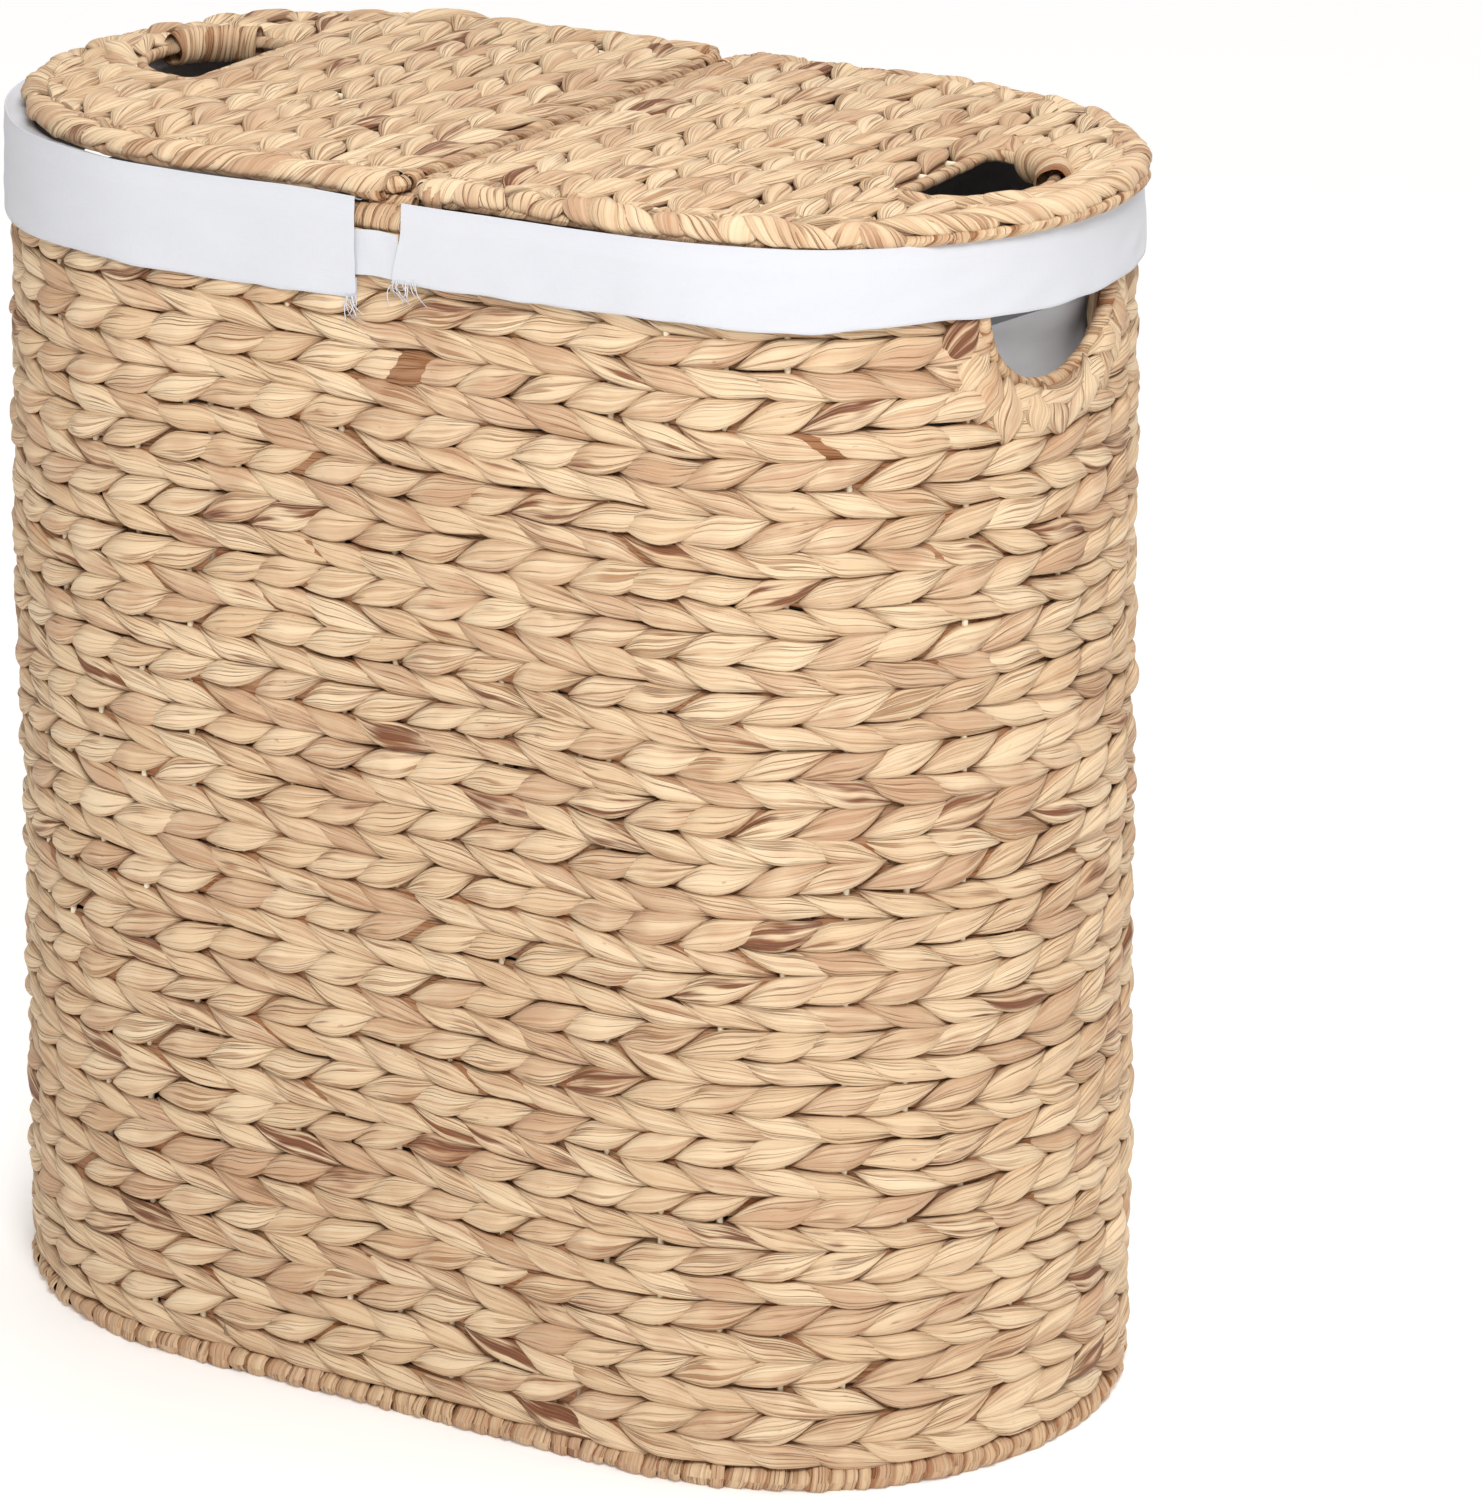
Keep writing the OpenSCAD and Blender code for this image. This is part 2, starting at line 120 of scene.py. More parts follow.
class BasketWeaveSettings(bpy.types.PropertyGroup):
    """Sizes of the twined leaf work"""

    rows: IntProperty(name="Rows", description="Rows of twined leaf up the wall", default=42, min=10)
    leaf_run: FloatProperty(
        name="Leaf run", description="Length of one turn of leaf, in stake spacings", default=1.66)
    leaf_thick: FloatProperty(
        name="Leaf thickness", description="Half the depth of a plump turn of leaf",
        default=4.6 * MM, unit="LENGTH")
    proud: FloatProperty(
        name="Proud", description="How far the leaf bulges beyond the wall's plane",
        default=1.2 * MM, unit="LENGTH")
    unevenness: FloatProperty(
        name="Unevenness", description="How much the turns differ from each other", default=1.0)
    seed: IntProperty(name="Seed", description="Picks the leaves' random differences", default=7)


class BasketFinishSettings(bpy.types.PropertyGroup):
    """Colours of the leaf, the cloth and the frame"""

    leaf_pale: FloatVectorProperty(
        name="Pale leaf", description="Colour of the palest leaves", subtype="COLOR",
        default=(0.8, 0.615, 0.405), min=0, max=1)
    leaf_tan: FloatVectorProperty(
        name="Tan leaf", description="Colour of most of the leaves", subtype="COLOR",
        default=(0.63, 0.42, 0.245), min=0, max=1)
    leaf_pink: FloatVectorProperty(
        name="Pink leaf", description="Colour of the pinkish leaves", subtype="COLOR",
        default=(0.52, 0.31, 0.19), min=0, max=1)
    leaf_dark: FloatVectorProperty(
        name="Dark leaf", description="Colour of the brown streaks", subtype="COLOR",
        default=(0.19, 0.07, 0.035), min=0, max=1)
    cloth: FloatVectorProperty(
        name="Cloth", description="Colour of the liners", subtype="COLOR",
        default=(0.63, 0.637, 0.675), min=0, max=1)
    stake: FloatVectorProperty(
        name="Stake", description="Colour of the stakes between the leaves", subtype="COLOR",
        default=(0.86, 0.76, 0.56), min=0, max=1)
    steel: FloatVectorProperty(
        name="Steel", description="Colour of the frame wire", subtype="COLOR",
        default=(0.3, 0.2, 0.13), min=0, max=1)


class BasketStageSettings(bpy.types.PropertyGroup):
    """Camera and floor"""

    azimuth: FloatProperty(
        name="Azimuth", description="Camera's angle round the basket", subtype="ANGLE",
        default=math.radians(29.29))
    elevation: FloatProperty(
        name="Elevation", description="Camera's angle above the floor", subtype="ANGLE",
        default=math.radians(19.51))
    roll: FloatProperty(
        name="Roll", description="Camera's turn about its own axis", subtype="ANGLE", default=0.0041)
    distance: FloatProperty(
        name="Distance", description="Camera's distance", default=2.9108, unit="LENGTH")
    slide: FloatProperty(
        name="Slide", description="Camera's shift to its right", default=0.0839, unit="LENGTH")
    lift: FloatProperty(
        name="Lift", description="Camera's shift upwards", default=-0.0139, unit="LENGTH")
    lens: FloatProperty(name="Lens", description="Focal length in millimetres", default=147.3)
    floor: FloatVectorProperty(
        name="Floor", description="Colour of the floor", subtype="COLOR",
        default=(0.98, 0.98, 0.98), min=0, max=1)


def weave():
    return bpy.context.scene.basket_weave


def finish():
    return bpy.context.scene.basket_finish


def stage_settings():
    return bpy.context.scene.basket_stage


# ---------- materials ----------

class Sock:
    """A shader socket that takes part in sums"""

    def __init__(self, tree, out):
        self.tree, self.out = tree, out

    def math(self, operation, *others):
        return self.tree.node("ShaderNodeMath", {"operation": operation}, [self, *others])

    def __add__(self, other):
        return self.math("ADD", other)

    def __sub__(self, other):
        return self.math("SUBTRACT", other)

    def __mul__(self, other):
        return self.math("MULTIPLY", other)

    def __radd__(self, other):
        return self.math("ADD", other)

    def __rsub__(self, other):
        return self.tree.node("ShaderNodeMath", {"operation": "SUBTRACT"}, [other, self])

    def clamp(self):
        return self.tree.node("ShaderNodeMath", {"operation": "ADD", "use_clamp": True}, [self, 0.0])


class Tree:
    """A material's nodes"""

    def __init__(self, name):
        self.material = bpy.data.materials.new(name)
        self.material.use_nodes = True
        self.nodes = self.material.node_tree.nodes
        self.links = self.material.node_tree.links
        self.shader = next(n for n in self.nodes if n.type == "BSDF_PRINCIPLED")

    def node(self, kind, settings=None, inputs=(), output=0):
        """Adds a node: its settings first, then the values or links of its sockets"""
        made = self.nodes.new(kind)
        for key, value in (settings or {}).items():
            setattr(made, key, value)
        pairs = inputs.items() if isinstance(inputs, dict) else enumerate(inputs)
        for key, value in pairs:
            self.put(made.inputs[key], value)
        return Sock(self, made.outputs[output])

    def put(self, socket, value):
        if isinstance(value, Sock):
            self.links.new(value.out, socket)
        elif isinstance(value, (tuple, list)) and len(value) == 3 and socket.type == "RGBA":
            socket.default_value = (*value, 1)
        else:
            socket.default_value = value

    def mix(self, share, a, b):
        """Mixes two colours"""
        made = self.nodes.new("ShaderNodeMix")
        made.data_type = "RGBA"
        for socket, value in ((made.inputs[0], share), (made.inputs[6], a), (made.inputs[7], b)):
            self.put(socket, value)
        return Sock(self, made.outputs[2])

    def ramp(self, value, start, end):
        """0 below start, 1 above end, and smooth between them"""
        return self.node(
            "ShaderNodeMapRange", {"interpolation_type": "SMOOTHSTEP"}, [value, start, end, 0.0, 1.0])

    def noise(self, place, scale, detail=2.0, rough=0.5):
        return self.node(
            "ShaderNodeTexNoise", {},
            {"Vector": place, "Scale": scale, "Detail": detail, "Roughness": rough})

    def stretched(self, place, along, across, shift=0.0):
        """The leaf's own coordinates, scaled along and across its fibres"""
        return self.node(
            "ShaderNodeMapping", {},
            {"Vector": place, "Scale": (along, across, 1.0), "Location": (shift, shift, 0.0)})

    def surface(self, **sockets):
        for name, value in sockets.items():
            self.put(self.shader.inputs[name.replace("_", " ")], value)
        return self.material


def leaf_material(name, pale, tan, pink, dark, stain=1.0):
    """Dried leaf: fibres along its run, blotches, brown streaks, and each leaf its own tone, with painted
    shade in its recessed parts and creases and a painted sheen on its fibres
    """
    t = Tree(name)
    run = t.node("ShaderNodeUVMap", {"uv_map": "leaf_run"})
    tint_and_shade = t.node("ShaderNodeAttribute", {"attribute_name": "tint_and_shade"})
    parts = t.node("ShaderNodeSeparateColor", {}, [tint_and_shade])
    tone, rosy, brown = (Sock(t, parts.out.node.outputs[i]) for i in range(3))
    # the attribute's fourth value is painted shade, from how far the leaf is recessed
    painted_shade = Sock(t, tint_and_shade.out.node.outputs["Alpha"])

    # along the leaf: fine fibres, folds with creases in bunches, strands and pleats
    fibre = t.noise(t.stretched(run, 9, 820), 1.0, 3.0, 0.68)
    fold = t.noise(t.stretched(run, 7, 330, 31.0), 1.0, 1.0, 0.45)
    crease = 1 - t.ramp((fold - 0.5).math("ABSOLUTE"), 0.004, 0.03)
    bunch = t.ramp(t.noise(t.stretched(run, 40, 60, 37.0), 1.0, 1.0, 0.5), 0.42, 0.62)
    strand = t.noise(t.stretched(run, 8, 310, 3.0), 1.0, 2.0, 0.55)
    pleat = t.noise(t.stretched(run, 8, 150, 23.0), 1.0, 1.0, 0.5)
    # broad blotches, brown streaks and small flecks
    blotch = t.noise(t.stretched(run, 42, 75, 7.0), 1.0, 2.0, 0.5)
    streak = t.noise(t.stretched(run, 22, 250, 11.0), 1.0, 2.0, 0.6)
    fleck = t.noise(t.stretched(run, 170, 600, 17.0), 1.0, 1.0, 0.5)

    shade = (tone * 0.62 + blotch * 0.6 + strand * 0.8 + pleat * 0.6 - 0.98).clamp()
    colour = t.mix(shade, pale, tan)
    blush = (t.ramp(rosy * 0.55 + strand * 0.6 + blotch * 0.8 + pleat * 0.5, 1.02, 1.42) * 0.72).clamp()
    colour = t.mix(blush, colour, pink)
    burnt = t.ramp(brown * 0.55 + streak * 1.6 + strand * 0.5 + blotch * 0.2, 1.54, 1.8)
    burnt = (burnt * stain).clamp()
    colour = t.mix(burnt, colour, dark)
    spots = (t.ramp(fleck, 0.68, 0.76) * t.ramp(streak, 0.5, 0.6) * 0.4).clamp()
    colour = t.mix(spots, colour, dark)
    # dark lines between the fibres, darkened more as painted shade where the leaf is recessed, a painted
    # sheen on them, and painted shade where the leaf dives under the next
    lines = t.ramp(fibre, 0.32, 0.5)
    colour = t.mix(((1 - lines) * (0.5 + painted_shade * 0.5)).clamp(), colour, (0.4, 0.19, 0.085))
    # painted shade in the creases, stronger where the leaf is recessed
    colour = t.mix((crease * (bunch * 0.5 + 0.2 + painted_shade * 0.4)).clamp(), colour, (0.33, 0.145, 0.06))
    # painted sheen: a pale highlight colour along the fibres
    painted_sheen = t.ramp(fibre, 0.52, 0.7) * 0.28
    colour = t.mix(painted_sheen, colour, (0.9, 0.79, 0.6))
    # painted shade: recessed parts turn dark brown
    colour = t.mix((painted_shade * 0.85).clamp(), colour, (0.25, 0.078, 0.018))

    height = fibre * 0.6 + strand * 0.9 + pleat * 1.3 + blotch * 0.3 - crease * (bunch * 0.4 + 0.15)
    normal = t.node(
        "ShaderNodeBump", {}, {"Strength": 0.95, "Distance": 0.0015, "Height": height})
    rough = 0.5 + strand * 0.2
    return t.surface(
        Base_Color=colour, Roughness=rough, Normal=normal, Specular_IOR_Level=0.18)


def cloth_material(name, colour):
    """Plain woven cotton: uneven warp and weft threads and soft rumples"""
    t = Tree(name)
    run = t.node("ShaderNodeUVMap", {"uv_map": "leaf_run"})
    warp = t.noise(t.stretched(run, 90, 1500), 1.0, 2.0, 0.5)
    weft = t.noise(t.stretched(run, 1500, 90, 5.0), 1.0, 2.0, 0.5)
    soft = t.noise(t.stretched(run, 30, 30, 9.0), 1.0, 2.0, 0.5)
    slub = t.ramp(t.noise(t.stretched(run, 60, 1100, 2.0), 1.0, 1.0, 0.5), 0.62, 0.75)
    shade = t.mix(
        (warp * 0.5 + weft * 0.5 - 0.32).clamp() * 0.35, colour, tuple(c * 0.86 for c in colour))
    shade = t.mix(slub * 0.3, shade, tuple(c * 0.9 for c in colour))
    height = warp * 0.6 + weft * 0.6 + soft * 0.8
    normal = t.node("ShaderNodeBump", {}, {"Strength": 0.35, "Distance": 0.0006, "Height": height})
    return t.surface(
        Base_Color=shade, Roughness=0.9, Normal=normal, Specular_IOR_Level=0.15, Sheen_Weight=0.15)


def plain_material(name, colour, roughness, metallic=0.0):
    """Bark of the stakes, or the wire's steel, with its slight mottling"""
    t = Tree(name)
    place = t.node("ShaderNodeTexCoord", {}, output=OBJECT_COORDINATES)
    mottle = t.noise(place, 180.0, 3.0, 0.6)
    shade = t.mix(mottle, tuple(c * 0.75 for c in colour), tuple(min(1, c * 1.15) for c in colour))
    normal = t.node("ShaderNodeBump", {}, {"Strength": 0.3, "Distance": 0.0004, "Height": mottle})
    return t.surface(
        Base_Color=shade, Roughness=roughness + (mottle - 0.5) * 0.2, Normal=normal, Metallic=metallic)


def material(slot):
    """The finish of a slot, made the first time it is asked for"""
    name = slot + "_finish"
    found = bpy.data.materials.get(name)
    if found:
        return found
    f = finish()
    pale, tan, pink, dark = (tuple(c) for c in (f.leaf_pale, f.leaf_tan, f.leaf_pink, f.leaf_dark))
    if slot == "woven_leaf":
        return leaf_material(name, pale, tan, pink, dark)
    if slot == "leaf_wrapping":
        return leaf_material(
            name, tuple(0.5 * (a + b) for a, b in zip(pale, tan)), tan, pink, dark, 0.7)
    if slot == "liner_cloth":
        return cloth_material(name, tuple(f.cloth))
    if slot == "stakes":
        return plain_material(name, tuple(f.stake), 0.75)
    return plain_material(name, tuple(f.steel), 0.5, 0.4)


# ---------- meshes ----------

def clear(name):
    old = bpy.data.objects.get(name)
    if old:
        bpy.data.objects.remove(old)


def mesh_piece(name, places, faces, run, tint_and_shade, atlas, slot, body, replaced=()):
    """Makes a piece from arrays of points and four-cornered faces, and puts it on its body"""
    clear(name)
    mesh = bpy.data.meshes.new(name)
    mesh.vertices.add(len(places))
    mesh.vertices.foreach_set("co", np.ascontiguousarray(places, np.float32).ravel())
    mesh.loops.add(faces.size)
    mesh.loops.foreach_set("vertex_index", faces.astype(np.int32).ravel())
    mesh.polygons.add(len(faces))
    mesh.polygons.foreach_set("loop_start", np.arange(0, faces.size, 4, dtype=np.int32))
    mesh.update(calc_edges=True)
    mesh.polygons.foreach_set("use_smooth", np.ones(len(faces), bool))
    for layer, value in (("leaf_run", run), ("OFBake", atlas)):
        uv = mesh.uv_layers.new(name=layer)
        uv.data.foreach_set("uv", np.ascontiguousarray(value, np.float32).ravel())
    # the attribute holds each leaf's tone, blush and brown, and painted shade in its fourth value
    colours = mesh.color_attributes.new("tint_and_shade", "FLOAT_COLOR", "POINT")
    colours.data.foreach_set("color", np.ascontiguousarray(tint_and_shade, np.float32).ravel())
    mesh.materials.append(material(slot))
    mesh.validate()
    made = bpy.data.objects.new(name, mesh)
    bpy.context.scene.collection.objects.link(made)
    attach(made, body)
    for node in replaced:
        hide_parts(node)
    return made


class Grids:
    """Collects many small grids of points, each a leaf or a band, into one piece"""

    def __init__(self):
        self.parts = []

    def add(self, places, run, tint_and_shade, close_across):
        """places (n, along, across, 3), run (n, along, across, 2), tint (n, along, across, 4)"""
        self.parts.append((places, run, tint_and_shade, close_across))

    def faces_of(self, n, along, across, close):
        a = np.arange(along - 1)[:, None]
        b = np.arange(across if close else across - 1)[None, :]
        c = (b + 1) % across
        quad = np.stack([a * across + b, (a + 1) * across + b, (a + 1) * across + c, a * across + c], -1)
        quad = quad.reshape(-1, 4)
        return (quad[None] + np.arange(n)[:, None, None] * along * across).reshape(-1, 4)

    def piece(self, name, slot, body, replaced=()):
        total = sum(len(p[0]) for p in self.parts)
        columns = math.ceil(math.sqrt(total))
        places, faces, runs, tints_and_shades, atlas = [], [], [], [], []
        base = cell = 0
        for points, run, tint_and_shade, close in self.parts:
            n, along, across = points.shape[:3]
            quad = self.faces_of(n, along, across, close)
            places.append(points.reshape(-1, 3))
            tints_and_shades.append(tint_and_shade.reshape(-1, 4))
            corner = run.reshape(-1, 2)[quad]
            index = quad % (along * across)
            i, j = index // across, (index % across).astype(float)
            if close:
                first = (quad[:, 0] % (along * across)) % across
                wrap = (first == across - 1)[:, None] & (j == 0)
                j = np.where(wrap, across, j)
                lap = np.linalg.norm(points[:, :, 0] - points[:, :, -1], axis=-1).reshape(-1)
                back = lap[(quad // across)]
                corner[..., 1] = np.where(wrap, run.reshape(-1, 2)[quad[:, [0, 1, 1, 0]]][..., 1] + back,
                                          corner[..., 1])
            k = cell + quad[:, :1] // (along * across)
            u = ((k % columns) + 0.04 + 0.92 * i / (along - 1)) / columns
            v = ((k // columns) + 0.04 + 0.92 * j / (across if close else across - 1)) / columns
            runs.append(corner.reshape(-1, 2))
            atlas.append(np.stack([u, v], -1).reshape(-1, 2))
            faces.append(quad + base)
            base += n * along * across
            cell += n
        return mesh_piece(
            name, np.concatenate(places), np.concatenate(faces), np.concatenate(runs),
            np.concatenate(tints_and_shades), np.concatenate(atlas), slot, body, replaced)


def smooth_step(x):
    x = np.clip(x, 0, 1)
    return x * x * (3 - 2 * x)


def ripple(s, t, seed, size):
    """A smooth uneven value from -1 to 1 over a surface"""
    rng = np.random.default_rng(seed)
    total = np.zeros(np.broadcast(s, t).shape)
    for _ in range(5):
        turn, phase, k = rng.uniform(0, TAU), rng.uniform(0, TAU), rng.uniform(0.6, 1.7) * TAU / size
        total = total + np.sin((s * math.cos(turn) + t * math.sin(turn)) * k + phase)
    return total / 3.2


def leaf_tints(rng, n):
    """Tone, blush and brown for each of n leaves; the fourth value, painted shade, is set later from its
    depth
    """
    tint_and_shade = np.zeros((n, 4))
    tint_and_shade[:, 0] = np.clip(rng.normal(0.45, 0.3, n), 0, 1)
    tint_and_shade[:, 1] = np.clip(rng.beta(1.2, 2.6, n), 0, 1)
    tint_and_shade[:, 2] = np.where(rng.random(n) < 0.07, rng.uniform(0.5, 1.0, n), rng.uniform(0, 0.45, n))
    return tint_and_shade


def plump_leaves(rng, start, line, height, length, lean, thick, proud, place, along=14, outer=12,
                 inner=4, uneven=1.0, belly=0.46):
    """Turns of leaf in twined rows. Each starts at the row's edge beneath its neighbour, bulges,
    and dives to the other edge. place(s, t, d) puts run, height and depth on the surface."""
    n = len(start)

    def col(value):
        """One value for all the leaves, or one for each"""
        return np.broadcast_to(np.asarray(value, float), (n,))[:, None, None]

    def vary(spread):
        """A random difference for each leaf"""
        return (rng.normal(0, 1, n) * spread * uneven)[:, None, None]

    a = np.linspace(0, 1, along)[None, :, None]
    phi = np.concatenate([np.linspace(0, np.pi, outer),
                          np.linspace(np.pi, TAU, inner + 2)[1:-1]])[None, None, :]
    plump = (col(lean) + 1) / 2
    peak = np.clip(belly + vary(0.045), 0.3, 0.62)
    rise = np.clip(a / peak, 0, 1)
    upper = -1 + 2 * (1 - (1 - rise) ** 1.75)
    fall = np.clip((a - (peak - 0.02)) / (1.02 - peak), 0, 1)
    lower = -1 + 2 * (1 - np.cos(np.pi / 2 * fall))
    half = np.maximum((upper - lower) / 2, 0.03)
    middle = (upper + lower) / 2 * col(lean)
    h = col(height) / 2
    width = half * h * (0.99 + 0.13 * plump + vary(0.07))
    body = half ** 0.62 * col(thick) * (0.94 + 0.1 * plump + vary(0.1))
    bump = np.sin(np.pi * np.clip(a, 0, 1) ** 0.95) ** 0.75
    depth = -col(thick) * 1.35 + bump * (
        col(proud) + col(thick) * 0.35 + (plump - 0.5) * 0.0011 + vary(0.0006))
    depth = depth - (body.max(axis=1, keepdims=True) - col(thick)) * bump
    cos, sin = np.cos(phi), np.sin(phi)
    cos = np.sign(cos) * np.abs(cos) ** 0.86
    sin = np.sign(sin) * np.abs(sin) ** 0.82
    # a fold or two runs along most leaves
    fold_at = np.pi / 2 + vary(0.75) + (a - 0.5) * vary(1.3)
    groove = np.abs(vary(0.0007)) * np.exp(-(((phi - fold_at) / 0.22) ** 2))
    ridge = 0.09 * np.sin(phi * 3 + a * 2.5 + vary(3.0)) * np.sin(phi) ** 2
    swell = 0.06 * np.sin(a * 9 + vary(3.0) + phi)
    s = col(start) + vary(0.0011) + a * col(length) * (1 + vary(0.05)) + cos * width * 0.1 * col(lean)
    tilt = vary(0.035) * (a - 0.5) * col(length)
    t = col(line) + vary(0.0005) + tilt + middle * h + cos * width
    d = depth + sin * body * (1 + ridge + swell) - groove * np.maximum(sin, 0)
    places = place(s, t, np.broadcast_to(d, np.broadcast(s, t, d).shape))
    shape = places.shape[:3]
    tint_and_shade = np.broadcast_to(leaf_tints(rng, n)[:, None, None, :], (*shape, 4)).copy()
    # painted shade: the further a point lies inward, the darker it is painted
    sunk_painted_shade = np.clip((-d - 0.0026) / 0.0036, 0, 1)
    tint_and_shade[..., 3] = np.broadcast_to(sunk_painted_shade * 0.9, shape)
    run = np.zeros((*shape, 2))
    run[..., 0] = a * col(length) + (rng.random(n) * 40)[:, None, None]
    run[..., 1] = phi * 0.0055 + (rng.random(n) * 40)[:, None, None]
    return places, run, tint_and_shade


def bands(rng, path, total, radius, width, lean=0.25, closed=True, around=14, lift=0.0005,
          across=6, start=0.0, browner=0.0):
    """Flat leaf wound round a rod: each band overlaps the next. path(s) gives a point on the rod's
    middle and two directions across it."""
    edges = [0.0]
    while edges[-1] < total:
        edges.append(edges[-1] + width * rng.uniform(0.6, 1.45))
    edges = np.array(edges) * (total / edges[-1]) + start
    n = len(edges) - 1
    middle, wide = (edges[1:] + edges[:-1]) / 2, edges[1:] - edges[:-1]
    phi = np.linspace(0, TAU, around, endpoint=False)[None, :, None]
    e = np.linspace(-0.62, 0.62, across)[None, None, :]

    def vary(spread):
        """A random difference for each band"""
        return (rng.normal(0, 1, n) * spread)[:, None, None]

    slope = lean * (1 + vary(0.35))
    s = middle[:, None, None] + e * wide[:, None, None] + slope * radius * np.sin(phi + 0.6)
    crown = np.where(e > 0.5, -0.2, np.where(e < -0.5, -1.3, 0.25 + 0.9 * (e + 0.3) - 1.1 * e * e))
    r = radius + crown * lift + vary(0.12) * lift + lift * 0.5 * np.sin(phi * 3 + vary(2.0))
    if not closed:
        s = np.clip(s, start, start + total)
    point, one, two = path(s)
    places = point + one * (r * np.cos(phi))[..., None] + two * (r * np.sin(phi))[..., None]
    # rows of the grid run round the rod, so that the fibres do too
    seam = places[:, :1]
    places = np.concatenate([places, seam], axis=1)
    shape = places.shape[:3]
    tint_and_shade = np.broadcast_to(leaf_tints(rng, n)[:, None, None, :], (*shape, 4)).copy()
    tint_and_shade[..., 0] = np.clip(tint_and_shade[..., 0] + browner, 0, 1)
    tint_and_shade[..., 1] = np.clip(tint_and_shade[..., 1] + browner * 0.5, 0, 1)
    tint_and_shade[..., 2] *= 0.8
    # painted shade on the edge of each band that lies under its neighbour
    tint_and_shade[..., 3] = np.where(e < -0.3, 0.8, 0.0)
    run = np.zeros((*shape, 2))
    turn = np.linspace(0, TAU, around + 1)[None, :, None]
    run[..., 0] = turn * radius + (rng.random(n) * 40)[:, None, None]
    run[..., 1] = e * wide[:, None, None] + (rng.random(n) * 40)[:, None, None]
    return places, run, tint_and_shade


# ---------- where the basket's surfaces lie ----------

STAKE_STEP = 2 * END_X / FRONT_STAKES
NOMINAL_R = STAKE_STEP * END_STAKES / math.pi
ROUND = 4 * END_X + TAU * NOMINAL_R


def plan_point(s, radius):
    """Point and outward direction on the stadium plan, s metres round from the front's left end"""
    s = np.mod(s, ROUND)
    front, end = 2 * END_X, np.pi * NOMINAL_R
    right = np.clip((s - front) / NOMINAL_R, 0, np.pi)
    left = np.clip((s - 2 * front - end) / NOMINAL_R, 0, np.pi)
    angle = -np.pi / 2 + right + left
    nx, ny = np.cos(angle), np.sin(angle)
    x0 = np.where(s < front, s - END_X,
                  np.where(s < front + end, END_X,
                           np.where(s < 2 * front + end, END_X - (s - front - end), -END_X)))
    return x0 + radius * nx, radius * ny, nx, ny


def wall_radius(z):
    share = np.clip((z - WALL_FOOT) / (WALL_HEAD - WALL_FOOT), 0, 1)
    return FOOT_R + (HEAD_R - FOOT_R) * share


def under_cuff(z):
    """0 below the cuffs, 1 where they press on the weave"""
    return smooth_step((z - PRESSED_ABOVE) / 0.014)


def clear_of_hole(p, q, margin):
    """Moves points out of a hand hole's D, away from its middle. q is up from the straight side."""
    reach = HOLE_PATH + margin
    top = HOLE_WRAP + margin
    middle = -20 * MM
    length = np.hypot(p, q - middle) + 1e-9
    up, aside = (q - middle) / length, p / length
    # how far the D's round side and its straight side lie from the middle, in the point's direction
    back = -up * (middle + HOLE_FLAT)
    to_round = back + np.sqrt(np.maximum(back * back - (middle + HOLE_FLAT) ** 2 + reach ** 2, 0))
    to_straight = np.where(up > 1e-6, (top - middle) / np.maximum(up, 1e-6), 1e9)
    edge = np.minimum(to_round, to_straight)
    inside = length < edge
    grow = np.where(inside, edge + (length - edge) * 0.08, length)
    return aside * grow, middle + up * grow, inside


def end_hole_frame(side):
    """Where the middle of an end's curve lies along X, and the hand hole's outward angle from it"""
    return END_X * side, HOLE_TURN + (0 if side > 0 else np.pi)


def from_end_hole(side, x, y):
    """How far out along an end hand hole's axis a point lies, and how far aside of it"""
    middle, angle = end_hole_frame(side)
    outward = (x - middle) * math.cos(angle) + y * math.sin(angle)
    return outward, -(x - middle) * math.sin(angle) + y * math.cos(angle)


def wall_place(s, t, d):
    """Puts a point of the weave on the wall: s round it, t its height, d outwards"""
    wave = 0.0014 * ripple(s, t, 3, 0.22) + 0.0007 * ripple(s, t, 4, 0.07)
    z = t + wave * smooth_step((t - WALL_FOOT) / 0.04) * smooth_step((WALL_HEAD - t) / 0.04)
    sway = 0.0012 * ripple(s, t, 5, 0.3) + 0.0005 * ripple(s, t, 6, 0.06)
    pressed = 1.5 * MM * under_cuff(z) * smooth_step((d + 7 * MM) / (4 * MM))
    radius = wall_radius(z) + d - pressed + sway * smooth_step((0.52 - z) / 0.05)
    x, y, _, _ = plan_point(s + 0 * t, radius)
    for side in (-1, 1):
        middle, angle = end_hole_frame(side)
        outward, aside = from_end_hole(side, x, y)
        near = (outward > 0.08) & (np.abs(aside) < 0.08)
        aside, above, inside = clear_of_hole(aside, z - END_HOLE_Z, 0.4 * MM)
        moved = near & inside
        # stay on the wall's curve while moving sideways
        turn = np.arctan2(aside, np.sqrt(np.maximum(radius ** 2 - aside ** 2, 1e-6)))
        pull = np.where(moved, -0.0015, 0.0)
        x = np.where(moved, middle + (radius + pull) * np.cos(angle + turn), x)
        y = np.where(moved, (radius + pull) * np.sin(angle + turn), y)
        z = np.where(moved, END_HOLE_Z + above, z)
    return np.stack([x, y, z + 0 * x], -1)


def in_end_hole(s, z):
    """True where the middle of a turn of leaf falls in an end hand hole"""
    x, y, _, _ = plan_point(s, wall_radius(z))
    hit = np.zeros(np.shape(s), bool)
    for side in (-1, 1):
        outward, aside = from_end_hole(side, x, y)
        above = z - END_HOLE_Z
        within = np.hypot(aside, above + HOLE_FLAT) < HOLE_PATH - 1 * MM
        hit |= (outward > 0.05) & within & (above < 5 * MM)
    return hit


